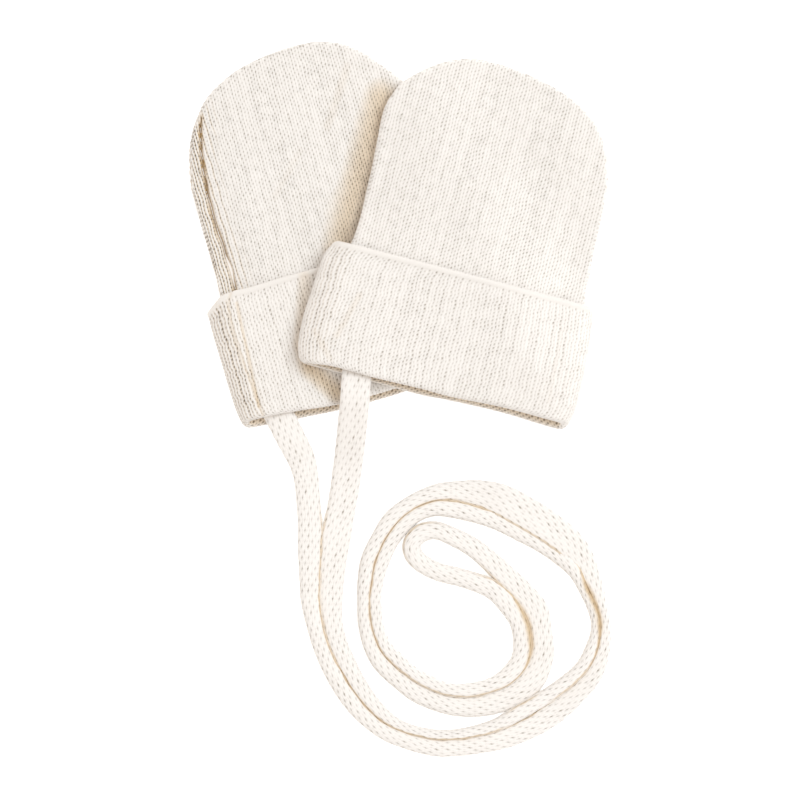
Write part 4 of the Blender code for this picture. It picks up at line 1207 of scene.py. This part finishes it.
def cuff_relief(shape, u, v, inset, shown, upper, wales, courses):
    """Height of loops, bead, folds and seam above the smooth form, and painted shade of pinholes and
    grooves.
    """
    bunch = CUFF_BUNCH_SHARE * shape["bunch"] * smooth((BUNCH_FROM - u) / BUNCH_REACH) * (upper > 0)
    relief, hole, line, side, low = loops(wales, courses, MIDDLE_HOLES, bunch, waver(u, v, 4))
    hole = shown * hole * (1.0 + INSIDE_HOLES * smooth(inset / FOLD - 0.5))
    relief = shown * (relief - CUFF_VALLEY * side**VALLEY_POWER) - HOLE_DEPTH * hole
    outside = inset < EDGE
    on_seam = ((upper > 0) == shape["seam_on_top"]) & outside
    seam = np.where(on_seam, CUFF_SEAM_SHARE, 0.0) * bell(seam_distance(shape, u, v), SEAM_WIDTH)
    fold = np.where(outside, fold_height(shape["cuff_folds"], u, v, upper), 0.0)
    bead = np.where(outside, BEAD_HEIGHT * bell(v - BEAD_PLACE, BEAD_WIDTH), 0.0)
    relief = relief + bead + fold - SEAM_DEPTH * seam
    # Painted shade: bunched lines, the seam, deep troughs and the inside take on the deep colour, and
    # pinholes and low places turn darker.
    groove = shown * BUNCH_SHADE * line + SEAM_SHADE * seam + trough_shade(fold)
    groove = groove + INSIDE_SHADE * smooth(inset / FOLD - 1.0)
    dark = hole * (1.0 + GROOVE_HOLE_SHADE * groove) + shown * low + (1.0 - shown) * EDGE_MARK
    return np.where(upper > 0, relief, np.minimum(relief, 0.0)), dark, groove


def cuff_surface(shape):
    """The whole cuff as a ring of cloth, with its relief square to the smooth form."""
    share, upper = ring_shares(CUFF_WALES[0] * TOP_STEPS, CUFF_WALES[1] * UNDER_STEPS)
    v, inset, shown = cuff_profile()
    flat = cuff_layer(shape, v, inset, share, upper)
    held = smooth(np.minimum(share, 1.0 - share) * CUFF_WALES[0] * CUFF_WALE / WAVER_EDGE)
    flat[..., 0] += CUFF_WAVER * waver(flat[..., 0], v[:, None], 6) * held
    points = place(shape, shaped_ends(shape, flat, True))
    stitches = cuff_stitches(v, inset, share, upper)
    wales, courses = stitches[:-1, :-1, 0], stitches[:-1, :-1, 1]
    relief, dark, groove = cuff_relief(
        shape, flat[..., 0], v[:, None], inset[:, None], shown[:, None], upper, wales, courses
    )
    normals = grid_normals(points, True)
    # A row on the cuff's outer side tells whether the normals point outwards.
    outward = np.sign((normals[len(v) // 6, :, 2] * upper).sum())
    return points + outward * relief[..., None] * normals, stitches, (dark, groove)


def add_cuff(shape):
    """Makes a mitten's cuff."""
    name = shape["name"] + "_cuff"
    return hand_over(knit_mesh(name + "_knit", *cuff_surface(shape), True), name)


left_cuff = add_cuff(left_mitten)
right_cuff = add_cuff(right_mitten)

# %% [markdown]
# ## Cotton yarn
#
# The yarn is undyed combed cotton, two plies twisted softly. It is matt, with a faint halo of fine
# fibres that shows as a pale sheen at grazing angles. Pinholes are painted darker and greyer, as
# shade, because little light comes out of them again. Grooves, deep troughs and the cuff's inside
# are painted browner, as shade whose light has already been thrown back by other yarn.

# %% Knit material
YARN = "F5F1EC"  # undyed cotton, a warm white
GAP_SHADE = "AFA495"  # painted shade: the yarn deep in a pinhole, which gets little light
GAP_SHARE = 1.0  # a full pinhole has the whole of that colour
DEEP_SHADE = "D9BA86"  # painted shade: the yarn deep in a groove, which gets its light from other yarn
DEEP_GAP_SHADE = "7A5B30"  # painted shade deep in a pinhole there
MOTTLE = 9.0 * MM  # size of the soft patches in which the cloth is a little darker
MOTTLE_DETAIL = 3.0
MOTTLE_SHARE = 0.05
FIBRE = 0.25 * MM  # thickness of a tuft of fibres
FIBRE_DETAIL = 4.0
FIBRE_SHARE = 0.16
FIBRE_HEIGHT = 0.06 * MM
YARN_LOOK = {
    "Roughness": 0.9, "IOR": 1.53, "Specular IOR Level": 0.2, "Sheen Weight": 0.25,
    "Sheen Roughness": 0.6,
}


def noise(tree, place, size, detail):
    """Noise in spots of a real size, 0.5 on average."""
    inputs = {"Vector": place, "Scale": 1 / size, "Detail": detail}
    return node(tree, "ShaderNodeTexNoise", inputs).outputs[0]


def add_share(tree, value, share, rest):
    """A value times its share, plus the rest."""
    inputs = {0: value, 1: share, 2: rest}
    return node(tree, "ShaderNodeMath", inputs, operation="MULTIPLY_ADD").outputs[0]


def mixed(tree, share, first, second):
    """Two colours mixed. The mixing node has them at 6 and 7, and its output 2 is the mix."""
    inputs = {"Factor": share, 6: first, 7: second}
    return node(tree, "ShaderNodeMix", inputs, data_type="RGBA").outputs[2]


def knit_material(name):
    """Cotton with painted shade: greyer in the pinholes and browner in the grooves of the cloth."""
    material = bpy.data.materials.new(name)
    material.use_nodes = True
    tree = material.node_tree
    real_place = node(tree, "ShaderNodeTexCoord").outputs["Object"]
    pinhole = node(tree, "ShaderNodeAttribute", attribute_name="pinhole").outputs["Fac"]
    groove = node(tree, "ShaderNodeAttribute", attribute_name="groove").outputs["Fac"]
    mottle = noise(tree, real_place, MOTTLE, MOTTLE_DETAIL)
    fibres = noise(tree, real_place, FIBRE, FIBRE_DETAIL)
    # Half of both shares is taken off, so that noise leaves the colours as they are on average.
    uneven = add_share(tree, mottle, MOTTLE_SHARE, -0.5 * (MOTTLE_SHARE + FIBRE_SHARE))
    uneven = add_share(tree, fibres, FIBRE_SHARE, uneven)
    # Painted shade: the yarn takes on the deep colour in grooves, and the pinhole colour turns browner
    # there.
    yarn = mixed(tree, groove, (*linear(YARN), 1.0), (*linear(DEEP_SHADE), 1.0))
    gap = mixed(tree, groove, (*linear(GAP_SHADE), 1.0), (*linear(DEEP_GAP_SHADE), 1.0))
    relief = node(
        tree, "ShaderNodeBump", {"Height": fibres, "Strength": 1.0, "Distance": FIBRE_HEIGHT}
    )
    look = {
        "Base Color": mixed(tree, add_share(tree, pinhole, GAP_SHARE, uneven), yarn, gap),
        "Normal": relief.outputs[0],
        **YARN_LOOK,
    }
    fill(tree, tree.nodes["Principled BSDF"], look)
    return material


hand_cotton = knit_material("combed_cotton_hand_knit")
cuff_cotton = knit_material("combed_cotton_cuff_knit")
cord_cotton = knit_material("combed_cotton_cord_knit")
for piece, cotton in (
    (left_hand, hand_cotton), (right_hand, hand_cotton), (left_cuff, cuff_cotton),
    (right_cuff, cuff_cotton), (cord, cord_cotton),
):
    piece.data.materials.append(cotton)
print("materials:", [cotton.name for cotton in (hand_cotton, cuff_cotton, cord_cotton)])
